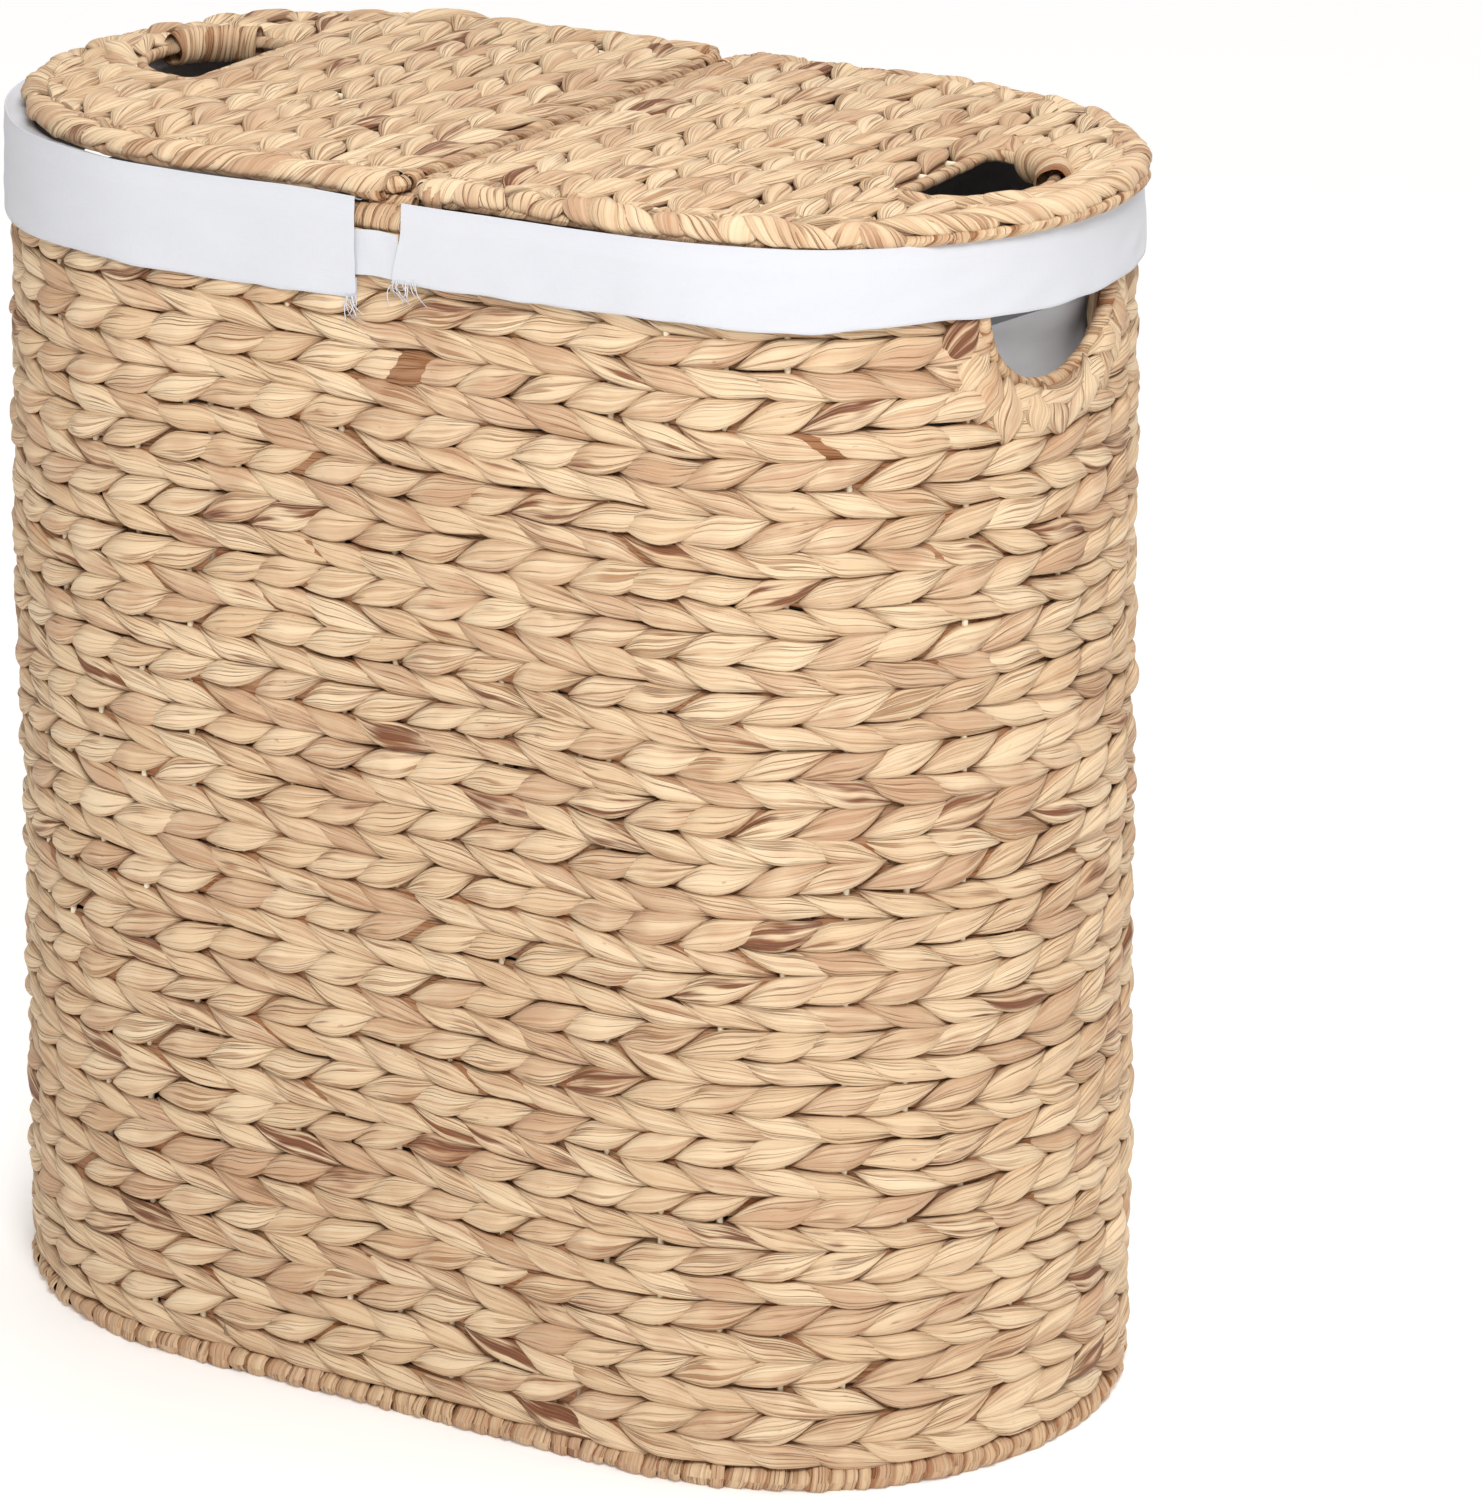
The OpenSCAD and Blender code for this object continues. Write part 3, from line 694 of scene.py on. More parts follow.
def wall_rows(first, last, low_row, high_row, inner=False):
    """Start, line, height, length and lean of the turns between two stakes and two rows"""
    w = weave()
    height = (WALL_HEAD - WALL_FOOT) / w.rows
    rows = np.arange(low_row, high_row)
    stakes = np.arange(first, last)
    row, stake = (v.ravel() for v in np.meshgrid(rows, stakes, indexing="ij"))
    start = (stake - 0.35 + (0.5 if inner else 0)) * STAKE_STEP
    line = WALL_FOOT + (row + 0.5) * height
    lean = np.where(row % 2 == 0, -1.0, 1.0)
    length = (w.leaf_run + np.where(lean < 0, 0.2, 0.0)) * STAKE_STEP
    keep = ~in_end_hole(start + length * 0.5, line)
    return start[keep], line[keep], np.full(keep.sum(), height), length[keep], lean[keep]


class BASKET_OT_walls(bpy.types.Operator):
    """Twine the front, back and end walls"""

    bl_idname = "basket.walls"
    bl_label = "Walls"

    def execute(self, context):
        def inside(s, t, d):
            return wall_place(s, t, -11 * MM - d)

        w = weave()
        half = w.rows // 2
        front, end = FRONT_STAKES, END_STAKES
        sectors = {"front": (0, front), "right": (front, front + end),
                   "back": (front + end, 2 * front + end), "left": (2 * front + end, 2 * front + 2 * end)}
        for index, (name, (first, last)) in enumerate(sectors.items()):
            levels = [("", 0, w.rows)] if name in ("front", "back") else [
                ("_lower", 0, half), ("_upper", half, w.rows)]
            for number, (label, low_row, high_row) in enumerate(levels):
                rng = np.random.default_rng(w.seed + 10 * index + number)
                grids = Grids()
                rows = wall_rows(first, last, low_row, high_row)
                grids.add(*plump_leaves(
                    rng, *rows, w.leaf_thick, w.proud, wall_place, uneven=w.unevenness), True)
                grids.piece(f"{name}_wall_weave{label}", "woven_leaf", "basket", [f"{name}_wall"])
            rng = np.random.default_rng(w.seed + 10 * index + 5)
            grids = Grids()
            rows = wall_rows(first, last, 0, w.rows, inner=True)
            grids.add(*plump_leaves(
                rng, *rows, w.leaf_thick * 0.8, -0.2 * MM, inside, along=9, outer=7, inner=3,
                uneven=w.unevenness), True)
            grids.piece(f"{name}_wall_inside", "woven_leaf", "basket")
        return {"FINISHED"}


# ---------- base, rim and centre bar ----------

def round_path(radius, z):
    """The stadium as a rod's middle line, at one radius and height"""
    def path(s):
        x, y, nx, ny = plan_point(s * ROUND / (4 * END_X + TAU * radius), radius)
        middle = np.stack([x, y, z + 0 * x], -1)
        out = np.stack([nx, ny, 0 * x], -1)
        return middle, out, np.broadcast_to((0.0, 0.0, 1.0), out.shape)
    return path, 4 * END_X + TAU * radius


def straight_path(start, end):
    """A straight rod's middle line"""
    a, b = Vector(start), Vector(end)
    along = (b - a).normalized()
    one = along.orthogonal().normalized()
    two = along.cross(one)

    def path(s):
        middle = np.array(a) + s[..., None] * np.array(along)
        return middle, np.broadcast_to(one, middle.shape), np.broadcast_to(two, middle.shape)
    return path, (b - a).length


def bound_piece(name, body, windings, replaced, floor=None):
    """One piece of leaf bindings. Each winding is a dict of bands()'s values"""
    grids = Grids()
    for number, winding in enumerate(windings):
        rng = np.random.default_rng(weave().seed + number + sum(map(ord, name)))
        places, run, tint_and_shade = bands(rng, **winding)
        if floor is not None:
            places[..., 2] = np.maximum(places[..., 2], floor)
        grids.add(places, run, tint_and_shade, False)
    return grids.piece(name, "leaf_wrapping", body, replaced)


def base_place(up):
    """Puts a point of the base's weave in place: s along X, t along Y, d out of the face"""
    reach = RING_PATH - RING_R + 1 * MM
    face = high("base_panel", 2) if up else low("base_panel", 2)

    def place(s, t, d):
        s, t = np.broadcast_arrays(s, t)
        cx = np.clip(s, -END_X, END_X)
        out = np.hypot(s - cx, t) + 1e-9
        keep = np.minimum(out, reach) / out
        z = face + d if up else np.maximum(face - d, 0.4 * MM)
        return np.stack([cx + (s - cx) * keep, t * keep, z + 0 * s], -1)
    return place


def flat_rows(width, row_height, chord, step, run):
    """Turns of rows that fill a flat shape: chord(t) gives how far each row reaches"""
    starts, lines, leans = [], [], []
    for number in range(int((width[1] - width[0]) / row_height + 0.5)):
        line = width[0] + (number + 0.5) * row_height
        lowest, highest = chord(line)
        place = lowest - run * 0.55
        while place < highest - run * 0.3:
            starts.append(place)
            lines.append(line)
            leans.append(1.0 if number % 2 else -1.0)
            place += step
    n = len(starts)
    return (np.array(starts), np.array(lines), np.full(n, row_height), np.full(n, run),
            np.array(leans))


class BASKET_OT_base(bpy.types.Operator):
    """Twine the bottom and bind its ring"""

    bl_idname = "basket.base"
    bl_label = "Base"

    def execute(self, context):
        w = weave()
        path, total = round_path(RING_PATH, RING_Z)
        bound_piece("base_ring_binding", "basket", [dict(
            path=path, total=total, radius=RING_R - 0.4 * MM, width=9.5 * MM, lean=0.25, around=18,
            lift=1.5 * MM, browner=0.25)], ["base_ring"], floor=0.1 * MM)
        reach = RING_PATH - RING_R

        def chord(t):
            half = END_X + math.sqrt(max(reach ** 2 - t * t, 0))
            return -half, half

        for up, name in ((True, "base_weave_inside"), (False, "base_weave_underneath")):
            rng = np.random.default_rng(w.seed + 60 + up)
            rows = flat_rows((-reach, reach), 2 * reach / BASE_ROWS, chord, STAKE_STEP,
                             w.leaf_run * STAKE_STEP)
            grids = Grids()
            grids.add(*plump_leaves(
                rng, *rows, 3.4 * MM, 0.2 * MM, base_place(up), along=9, outer=8, inner=2,
                uneven=w.unevenness), True)
            grids.piece(name, "woven_leaf", "basket", ["base_panel"] if up else [])
        return {"FINISHED"}


class BASKET_OT_rim(bpy.types.Operator):
    """Bind the rim and the centre bar"""

    bl_idname = "basket.rim"
    bl_label = "Rim and centre bar"

    def execute(self, context):
        path, total = round_path(RIM_PATH, RIM_Z)
        bound_piece("rim_binding", "basket", [dict(
            path=path, total=total, radius=RIM_TUBE - 0.4 * MM, width=12 * MM, lean=0.4)], ["rim_wrap"])
        reach = high("centre_bar_wrap", 1)
        path, total = straight_path((BAR_X, -reach, RIM_Z), (BAR_X, reach, RIM_Z))
        bound_piece("centre_bar_binding", "basket", [dict(
            path=path, total=total, radius=BAR_TUBE - 0.3 * MM, width=10 * MM, lean=0.5,
            closed=False)], ["centre_bar_wrap"])
        return {"FINISHED"}


# ---------- hand holes ----------

HOLE_CORNER = HOLE_FLAT + HOLE_WRAP


def hole_line(s, out=0.0):
    """Point (p, q) and outward direction on a hand hole's D, s metres round its middle line.
    The straight side is at the top; s starts at the round side's left end and runs down."""
    reach = HOLE_PATH
    arc, bend, flat = np.pi * reach, np.pi / 2 * HOLE_CORNER, 2 * (reach - HOLE_CORNER)
    total = arc + 2 * bend + flat
    s = np.mod(s, total)
    a1 = np.pi + np.clip(s / reach, 0, np.pi)
    a2 = np.clip((s - arc) / HOLE_CORNER, 0, np.pi / 2)
    a3 = np.pi / 2 + np.clip((s - arc - bend - flat) / HOLE_CORNER, 0, np.pi / 2)
    on_arc, on_one = s < arc, s < arc + bend
    on_flat = s < arc + bend + flat
    angle = np.where(on_arc, a1, np.where(on_one, a2, np.where(on_flat, np.pi / 2, a3)))
    radius = np.where(on_arc, reach, HOLE_CORNER)
    cx = np.where(on_arc, 0.0, np.where(on_one, reach - HOLE_CORNER, np.where(
        on_flat, reach - HOLE_CORNER - (s - arc - bend), -(reach - HOLE_CORNER))))
    n1, n2 = np.cos(angle), np.sin(angle)
    return cx + (radius + out) * n1, -HOLE_FLAT + (radius + out) * n2, n1, n2


HOLE_ROUND = math.pi * HOLE_PATH + math.pi * HOLE_CORNER + 2 * (HOLE_PATH - HOLE_CORNER)


class BASKET_OT_hand_holes(bpy.types.Operator):
    """Bind the end hand holes and lay the leaves that turn in to them"""

    bl_idname = "basket.hand_holes"
    bl_label = "End hand holes"

    def execute(self, context):
        w = weave()
        ring_plane = RIM_PATH - 3.7 * MM
        for side, number in SIDES.items():
            cx, angle = end_hole_frame(number)
            ux, uy, vx, vy = math.cos(angle), math.sin(angle), -math.sin(angle), math.cos(angle)

            def path(s):
                p, q, n1, n2 = hole_line(s)
                middle = np.stack([
                    cx + ring_plane * ux + p * vx, ring_plane * uy + p * vy, END_HOLE_Z + q], -1)
                out = np.stack([n1 * vx, n1 * vy, n2], -1)
                return middle, out, np.broadcast_to((ux, uy, 0.0), out.shape)

            bound_piece(f"{side}_hole_binding", "basket", [dict(
                path=path, total=HOLE_ROUND, radius=3.3 * MM, width=8.5 * MM, lean=0.5,
                lift=0.45 * MM)], [f"{side}_hole_wrap"])

            def petal(s, t, d):
                p, q, _, _ = hole_line(t, s)
                z = END_HOLE_Z + q
                radius = wall_radius(z) + d - 1.5 * MM * under_cuff(z)
                turn = np.arcsin(np.clip(p / radius, -1, 1))
                return np.stack([
                    cx + radius * np.cos(angle + turn), radius * np.sin(angle + turn),
                    z + 0 * radius], -1)

            rng = np.random.default_rng(w.seed + 70 + number)
            width = 11.5 * MM
            line = np.arange(0.9, math.pi * HOLE_PATH / width - 0.5) * width
            n = len(line)
            grids = Grids()
            grids.add(*plump_leaves(
                rng, np.full(n, -2 * MM), line, np.full(n, width * 1.15),
                rng.uniform(22, 30, n) * MM, np.where(line > 70 * MM, -1.0, 1.0), 3.6 * MM, 2.2 * MM, petal,
                uneven=w.unevenness), True)
            grids.piece(f"{side}_hole_leaves", "woven_leaf", "basket")
        return {"FINISHED"}


# ---------- lids ----------

LID_HOLE_X = {
    "left": abs(PIVOTS["left"] - high("left_lid_hole_wire", 0)) + HOLE_WIRE_R + HOLE_WRAP,
    "right": abs(low("right_lid_hole_wire", 0) - PIVOTS["right"]) + HOLE_WIRE_R + HOLE_WRAP}
LID_HOLE_Y = {side: (high(f"{side}_lid_hole_wire", 1) + low(f"{side}_lid_hole_wire", 1)) / 2
              for side in SIDES}
LID_CENTRE = LID_R - LID_EDGE_R
# how near the weave comes to each lid's rod: the right lid's leaves turn over theirs
FIRST_ROW = {"left": 5.2 * MM, "right": -2.2 * MM}


def lid_end(side):
    """How far the centre of a lid's round end lies from its pivot"""
    n = SIDES[side]
    return abs((high(f"{side}_lid_edge", 0) if n > 0 else low(f"{side}_lid_edge", 0))
               - PIVOTS[side]) - LID_R


def lid_world(side, t, y, z):
    """From a lid's own reach, across and height to the row frame"""
    return np.stack([PIVOTS[side] + SIDES[side] * t, y + 0 * t, LID_Z + z + 0 * t], -1)


def lid_place(side, up):
    """Puts a point of a lid's weave in place: s along the hinge, t away from it, d out of the face"""
    end, hole_x, hole_y = lid_end(side), LID_HOLE_X[side], LID_HOLE_Y[side]
    first = FIRST_ROW[side]

    def place(s, t, d):
        s, t = np.broadcast_arrays(s, t)
        wave = 0.0011 * ripple(s, t, 8, 0.16) * smooth_step((t - 0.01) / 0.03)
        s, t = s + 0 * t, t + wave
        p, q, _ = clear_of_hole(s - hole_y, hole_x - t, 0.5 * MM)
        s, t = hole_y + p, hole_x - q
        ring_gap = np.where(q > 0, np.hypot(np.maximum(np.abs(p) - HOLE_PATH, 0), q),
                            np.hypot(p, q + HOLE_FLAT) - HOLE_PATH)
        cx = np.clip(t, 0, end)
        out = np.hypot(t - cx, s) + 1e-9
        held = np.where(out > LID_PANEL, LID_PANEL + (out - LID_PANEL) * 0.1, out) / out
        t, s = cx + (t - cx) * held, s * held
        t = np.maximum(t, first - 0.9 * MM)
        crown = 0.0012 * ripple(s, t, 9, 0.2) * smooth_step((t - 0.012) / 0.03)
        low_end = smooth_step((t - first) / 0.012)
        dip = 0.5 + 0.5 * smooth_step(ring_gap / (17 * MM))
        z = (5.4 * MM + d) * (0.58 + 0.42 * low_end) * dip + (crown if up else -crown)
        return lid_world(side, t, s, z if up else -z)
    return place


def fold_line(s):
    """Profile of a leaf folded over a lid's edge: reach past the edge's middle, and height"""
    knots = np.array([(-15, 4.6), (-8, 5.4), (-1, 5.8), (3.6, 4.6), (6.0, 2.0), (6.3, -1.2), (4.8, -4.2),
                      (0, -5.2), (-7, -4.8), (-13, -4.2)]) * MM
    length = np.concatenate([[0], np.cumsum(np.hypot(*np.diff(knots, axis=0).T))])
    fine = np.linspace(0, length[-1], 200)
    a = np.stack([np.interp(fine, length, knots[:, k]) for k in (0, 1)])
    kernel = np.ones(25) / 25
    smooth = np.stack([np.convolve(np.pad(v, 12, mode="reflect", reflect_type="odd"), kernel, "valid")
                       for v in a])
    slope = np.gradient(smooth, fine, axis=1)
    slope /= np.linalg.norm(slope, axis=0)
    out, up, out_slope, up_slope = (np.interp(s, fine, v) for v in (*smooth, *slope))
    return out, up, -up_slope, out_slope


def rim_length(side):
    """Length of a lid's rim, from one end of its straight side round to the other"""
    return 2 * (lid_end(side) - EDGE_START) + math.pi * LID_CENTRE


def lid_rim(side, r, out):
    """Point on a lid's rim, r metres round from the front end of its straight side"""
    end = lid_end(side)
    straight = end - EDGE_START
    arc = np.pi * LID_CENTRE
    angle = -np.pi / 2 + np.clip((r - straight) / LID_CENTRE, 0, np.pi)
    t = np.where(r < straight, EDGE_START + r, np.where(
        r < straight + arc, end, end - (r - straight - arc)))
    nt, ny = np.cos(angle), np.sin(angle)
    return t + (LID_CENTRE + out) * nt, (LID_CENTRE + out) * ny, nt, ny


def rod_shows(side, r):
    """1 where the right lid's edge rod shows below its leaves, r metres round the rim, else 0"""
    if side == "left":
        return 0.0 * r
    straight = lid_end(side) - EDGE_START
    first, last = (straight + math.radians(turn) * LID_CENTRE for turn in (42, 118))
    return smooth_step((r - first) / (20 * MM)) * smooth_step((last - r) / (20 * MM))


class BASKET_OT_lids(bpy.types.Operator):
    """Twine both lids, fold leaves over their edges and bind their rods, holes and grips"""

    bl_idname = "basket.lids"
    bl_label = "Lids"

    def execute(self, context):
        for side in SIDES:
            self.panel(side)
            self.edge(side)
            self.hole_petals(side)
            self.bindings(side)
        return {"FINISHED"}

    def panel(self, side):
        w, end, body = weave(), lid_end(side), f"{side}_lid"
        hole_x, hole_y = LID_HOLE_X[side], LID_HOLE_Y[side]
        for up, label in ((True, "top"), (False, "underneath")):
            rng = np.random.default_rng(w.seed + 80 + 2 * up + SIDES[side])

            def chord(t):
                reach = math.sqrt(max(LID_PANEL ** 2 - max(t - end, 0) ** 2, 0))
                return -reach, reach

            start, line, height, length, lean = flat_rows(
                (FIRST_ROW[side], end + LID_PANEL), LID_ROW, chord, STAKE_STEP,
                w.leaf_run * STAKE_STEP)
            p, q = start + length / 2 - hole_y, hole_x - line
            covered = HOLE_PATH + (10 if up else -1) * MM
            keep = ~((np.hypot(p, q + HOLE_FLAT) < covered) & (q < -4 * MM))
            keep &= ~((np.hypot(p, q + HOLE_FLAT) < HOLE_PATH - 1 * MM) & (q < 4 * MM))
            grids = Grids()
            grids.add(*plump_leaves(
                rng, start[keep], line[keep], height[keep], length[keep], lean[keep],
                3.6 * MM, 0.9 * MM, lid_place(side, up), uneven=w.unevenness), True)
            grids.piece(f"{side}_lid_weave_{label}", "woven_leaf", body,
                        [f"{side}_lid_panel"] if up else [])

    def edge(self, side):
        w, body = weave(), f"{side}_lid"
        rng = np.random.default_rng(w.seed + 90 + SIDES[side])
        total = rim_length(side)
        n = round(total / (15 * MM))
        line = (np.arange(n) + 0.5 + rng.uniform(-0.2, 0.2, n)) * total / n
        slant = np.where(rng.random(n) < 0.85, 1, -0.6) * rng.normal(
            0.75 if side == "left" else 0.45, 0.15, n)
        bare = rod_shows(side, line) > 0.5
        length = np.where(bare, 34 * MM, 46 * MM)

        def place(s, t, d):
            out, z, d_out, d_up = fold_line(s)
            moved = t + slant[:, None, None] * (s - 20 * MM)
            a, y, _, _ = lid_rim(side, np.clip(moved, 0, total), out + d * d_out)
            return lid_world(side, a, y, z + d * d_up)

        grids = Grids()
        grids.add(*plump_leaves(
            rng, rng.uniform(-2, 3, n) * MM, line, total / n * rng.uniform(1.25, 1.6, n), length,
            np.where(rng.random(n) < 0.75, 1.0, -1.0), 3.1 * MM, 0.7 * MM, place, along=18,
            uneven=w.unevenness, belly=0.42), True)
        grids.piece(f"{side}_lid_edge_leaves", "woven_leaf", body, [f"{side}_lid_edge"])

    def hole_petals(self, side):
        """Leaves that fan out from the round side of a lid's hand hole"""
        w, body = weave(), f"{side}_lid"
        hole_x, hole_y = LID_HOLE_X[side], LID_HOLE_Y[side]
        rng = np.random.default_rng(w.seed + 110 + SIDES[side])
        width = 12.5 * MM
        line = np.arange(0.3, math.pi * HOLE_PATH / width) * width
        n = len(line)
        twist = rng.normal(0.35, 0.2, n)

        def petal(s, t, d):
            moved = t + twist[:, None, None] * s
            p, q, _, _ = hole_line(np.clip(moved, 0, math.pi * HOLE_PATH), s)
            lift = (5.6 * MM + d) * (0.48 + 0.52 * smooth_step(s / (15 * MM)))
            t0, s0 = hole_x - q, hole_y + p
            cx = np.clip(t0, 0, lid_end(side))
            out = np.hypot(t0 - cx, s0) + 1e-9
            held = np.minimum(out, LID_PANEL + 3 * MM) / out
            return lid_world(side, cx + (t0 - cx) * held, s0 * held, lift)

        grids = Grids()
        grids.add(*plump_leaves(
            rng, np.full(n, -1 * MM), line, np.full(n, width * 1.3), rng.uniform(24, 31, n) * MM,
            np.where(rng.random(n) < 0.7, 1.0, -1.0), 3.6 * MM, 1.0 * MM, petal,
            uneven=w.unevenness), True)
        grids.piece(f"{side}_lid_hole_leaves", "woven_leaf", body)

    def corner(self, side, sign):
        """The bend from a lid's rod into its edge: s runs from the rod's end"""
        n, bend = SIDES[side], LID_EDGE_R
        rod_end = LID_CENTRE - bend

        def path(s):
            turn = np.clip(s, 0, bend * np.pi / 2) / bend
            x = PIVOTS[side] + n * bend * (1 - np.cos(turn))
            y = sign * (rod_end + np.minimum(s, 0) + bend * np.sin(turn))
            middle = np.stack([x, y, LID_Z + 0 * x], -1)
            out = np.stack([-n * np.cos(turn), sign * np.sin(turn), 0 * turn], -1)
            return middle, out, np.broadcast_to((0.0, 0.0, 1.0), out.shape)
        return path

    def bindings(self, side):
        body, n = f"{side}_lid", SIDES[side]
        hole_x, hole_y = LID_HOLE_X[side], LID_HOLE_Y[side]
        total = rim_length(side)

        def rim(s):
            t, y, nt, ny = lid_rim(side, np.clip(s, 0, total), (1.2 + 3.6 * rod_shows(side, s)) * MM)
            z = (-3.7 + 0.8 * rod_shows(side, s)) * MM
            return (lid_world(side, t, y, z), np.stack([n * nt, ny, 0 * nt], -1),
                    np.broadcast_to((0.0, 0.0, 1.0), (*np.shape(nt), 3)))

        bound_piece(f"{side}_lid_edge_rod", body, [dict(
            path=rim, total=total, radius=2.5 * MM, width=12 * MM, lean=1.0, closed=False,
            lift=0.3 * MM)], [])
        reach = high(f"{side}_lid_rod_wrap", 1)
        path, length = straight_path((PIVOTS[side], -reach, LID_Z), (PIVOTS[side], reach, LID_Z))
        windings = [dict(path=path, total=length, radius=3.6 * MM, width=17 * MM, lean=2.0,
                         closed=False, lift=0.5 * MM, browner=0.25)]
        for sign in (-1, 1):
            windings.append(dict(path=self.corner(side, sign), start=-1.7 * MM, total=12 * MM,
                                 radius=3.4 * MM, width=4 * MM, lean=0.3, closed=False))
            lash, long = straight_path(
                (PIVOTS[side] + n * 5 * MM, sign * LID_CENTRE, LID_Z - 1.1 * MM),
                (PIVOTS[side] + n * (21 if n < 0 else 15) * MM, sign * LID_CENTRE, LID_Z - 1.1 * MM))
            windings.append(dict(path=lash, total=long, radius=6.4 * MM, width=5.2 * MM, lean=0.3,
                                 closed=False, around=18, lift=0.8 * MM, browner=0.45))
        bound_piece(f"{side}_lid_rod_binding", body, windings, [f"{side}_lid_rod_wrap"])

        def ring(s):
            p, q, n1, n2 = hole_line(s)
            out = np.stack([-n * n2, n1, 0 * n1], -1)
            return (lid_world(side, hole_x - q, hole_y + p, 0 * q), out,
                    np.broadcast_to((0.0, 0.0, 1.0), out.shape))

        bound_piece(f"{side}_lid_hole_binding", body, [dict(
            path=ring, total=HOLE_ROUND, radius=2.7 * MM, width=11 * MM, lean=0.9, lift=0.35 * MM)],
            [f"{side}_lid_hole_wrap"])
        first = HOLE_PATH * math.radians(90 + 12)
        bound_piece(f"{side}_lid_grip_binding", body, [dict(
            path=ring, start=first, total=HOLE_PATH * math.radians(58), radius=8.4 * MM,
            width=17 * MM, lean=0.25, closed=False, around=20, across=9, lift=0.9 * MM)],
            [f"{side}_lid_grip"])


# ---------- hinge ties ----------

class BASKET_OT_ties(bpy.types.Operator):
    """Lash the lids' rods to the centre bar with leaf"""

    bl_idname = "basket.ties"
    bl_label = "Hinge ties"

    def execute(self, context):
        for side, n in SIDES.items():
            for end in ("front", "back"):
                node = f"{side}_tie_{end}"
                y0, y1, x = low(node, 1), high(node, 1), PIVOTS[side]
                loop, long = straight_path((x, y0 + 0.3 * MM, LID_Z), (x, y1 - 0.3 * MM, LID_Z))
                middle = (y0 + y1) / 2
                tail, tall = straight_path(
                    (x - n * 1.5 * MM, middle, LID_Z - 3 * MM),
                    (BAR_X + n * 2.5 * MM, middle, RIM_Z + 2 * MM))
                foot, wide = straight_path((BAR_X, y0, RIM_Z), (BAR_X, y1, RIM_Z))
                windings = [
                    dict(path=loop, total=long, radius=4.0 * MM, width=3.6 * MM, lean=0.4, closed=False,
                         lift=0.4 * MM, browner=0.4),
                    dict(path=tail, total=tall, radius=2.4 * MM, width=5 * MM, lean=0.6, closed=False,
                         browner=0.4)]
                if side == "left":
                    windings.append(dict(path=foot, total=wide, radius=5.6 * MM, width=4 * MM,
                                         lean=0.3, closed=False, browner=0.3))
                bound_piece(f"{node}_binding", "basket", windings, [node])
        for end, sign in (("front", -1), ("back", 1)):
            self.lashing(end, sign)
        return {"FINISHED"}

    def lashing(self, end, sign):
        """Leaf lashed round the rim between the cuffs, and two knotted turns above it"""
        rim, long = straight_path((-13 * MM, sign * RIM_PATH, RIM_Z), (10 * MM, sign * RIM_PATH, RIM_Z))
        windings = [dict(path=rim, total=long, radius=6.2 * MM, width=5 * MM, lean=0.25, closed=False,
                         around=18, lift=0.6 * MM)]
        for inward, rise, radius, browner in ((3.0, 7.3, 2.6, 0.4), (8.5, 7.6, 2.4, 0.1)):
            y, z = sign * (RIM_PATH - inward * MM), RIM_Z + rise * MM
            knot, wide = straight_path((-13 * MM, y, z), (10 * MM, y, z))
            windings.append(dict(path=knot, total=wide, radius=radius * MM, width=6 * MM, lean=0.9,
                                 closed=False, around=12, lift=0.5 * MM, browner=browner))
        bound_piece(f"{end}_lashing", "basket", windings, [])


# ---------- liners ----------

def sheet_piece(name, places, size, slot, body, replaced=(), holes=None):
    """Makes a piece from one grid of points (rows, columns, 3), with its cloth's size in metres"""
    rows, columns = places.shape[:2]
    a, b = np.arange(rows - 1)[:, None], np.arange(columns - 1)[None, :]
    quad = np.stack([a * columns + b, a * columns + b + 1, (a + 1) * columns + b + 1,
                     (a + 1) * columns + b], -1).reshape(-1, 4)
    if holes is not None:
        quad = quad[~holes.reshape(-1)[quad].all(axis=1)]
    i, j = quad // columns, quad % columns
    share = np.stack([j / (columns - 1), i / (rows - 1)], -1)
    run = share * np.array(size)
    tint_and_shade = np.zeros((rows * columns, 4))
    big = max(size)
    return mesh_piece(name, places.reshape(-1, 3), quad, run.reshape(-1, 2), tint_and_shade,
                      (run / big).reshape(-1, 2), slot, body, replaced)


def liner_profile(cuff):
    """Reach and height of a liner's cloth, from the foot of the bag over the rim to its hem"""
    inner = RIM_PATH - 7.15 * MM
    rise = np.concatenate([np.linspace(BAG_FOOT + 1 * MM, 0.529, 26), np.linspace(0.531, RIM_Z, 40)])
    leg = np.stack([np.full(len(rise), inner), rise], -1)
    turn = np.linspace(np.pi, 0, 24)[1:-1]
    square = np.where(turn < np.pi / 2, 0.36, 1.0)
    across = np.sign(np.cos(turn)) * np.abs(np.cos(turn)) ** square
    tall = np.sin(turn) ** square * (1 + 0.88 * np.maximum(across, 0) ** 4)
    fold = np.stack([RIM_PATH + 0.2 * MM + 7.3 * MM * across, RIM_Z + 7.3 * MM * tall], -1)
    drop = np.linspace(RIM_Z, RIM_Z - cuff, 16)
    out = np.stack([np.maximum(RIM_PATH + 7.5 * MM, wall_radius(drop) + 2.6 * MM), drop], -1)
    hem = np.stack([out[-1, 0] - np.array([0.4, 1.2, 1.4, 1.4]) * MM,
                    RIM_Z - cuff + np.array([-0.3, 0.3, 3.0, 9.0]) * MM], -1)
    return np.concatenate([leg, fold, out, hem]), len(rise), len(turn)


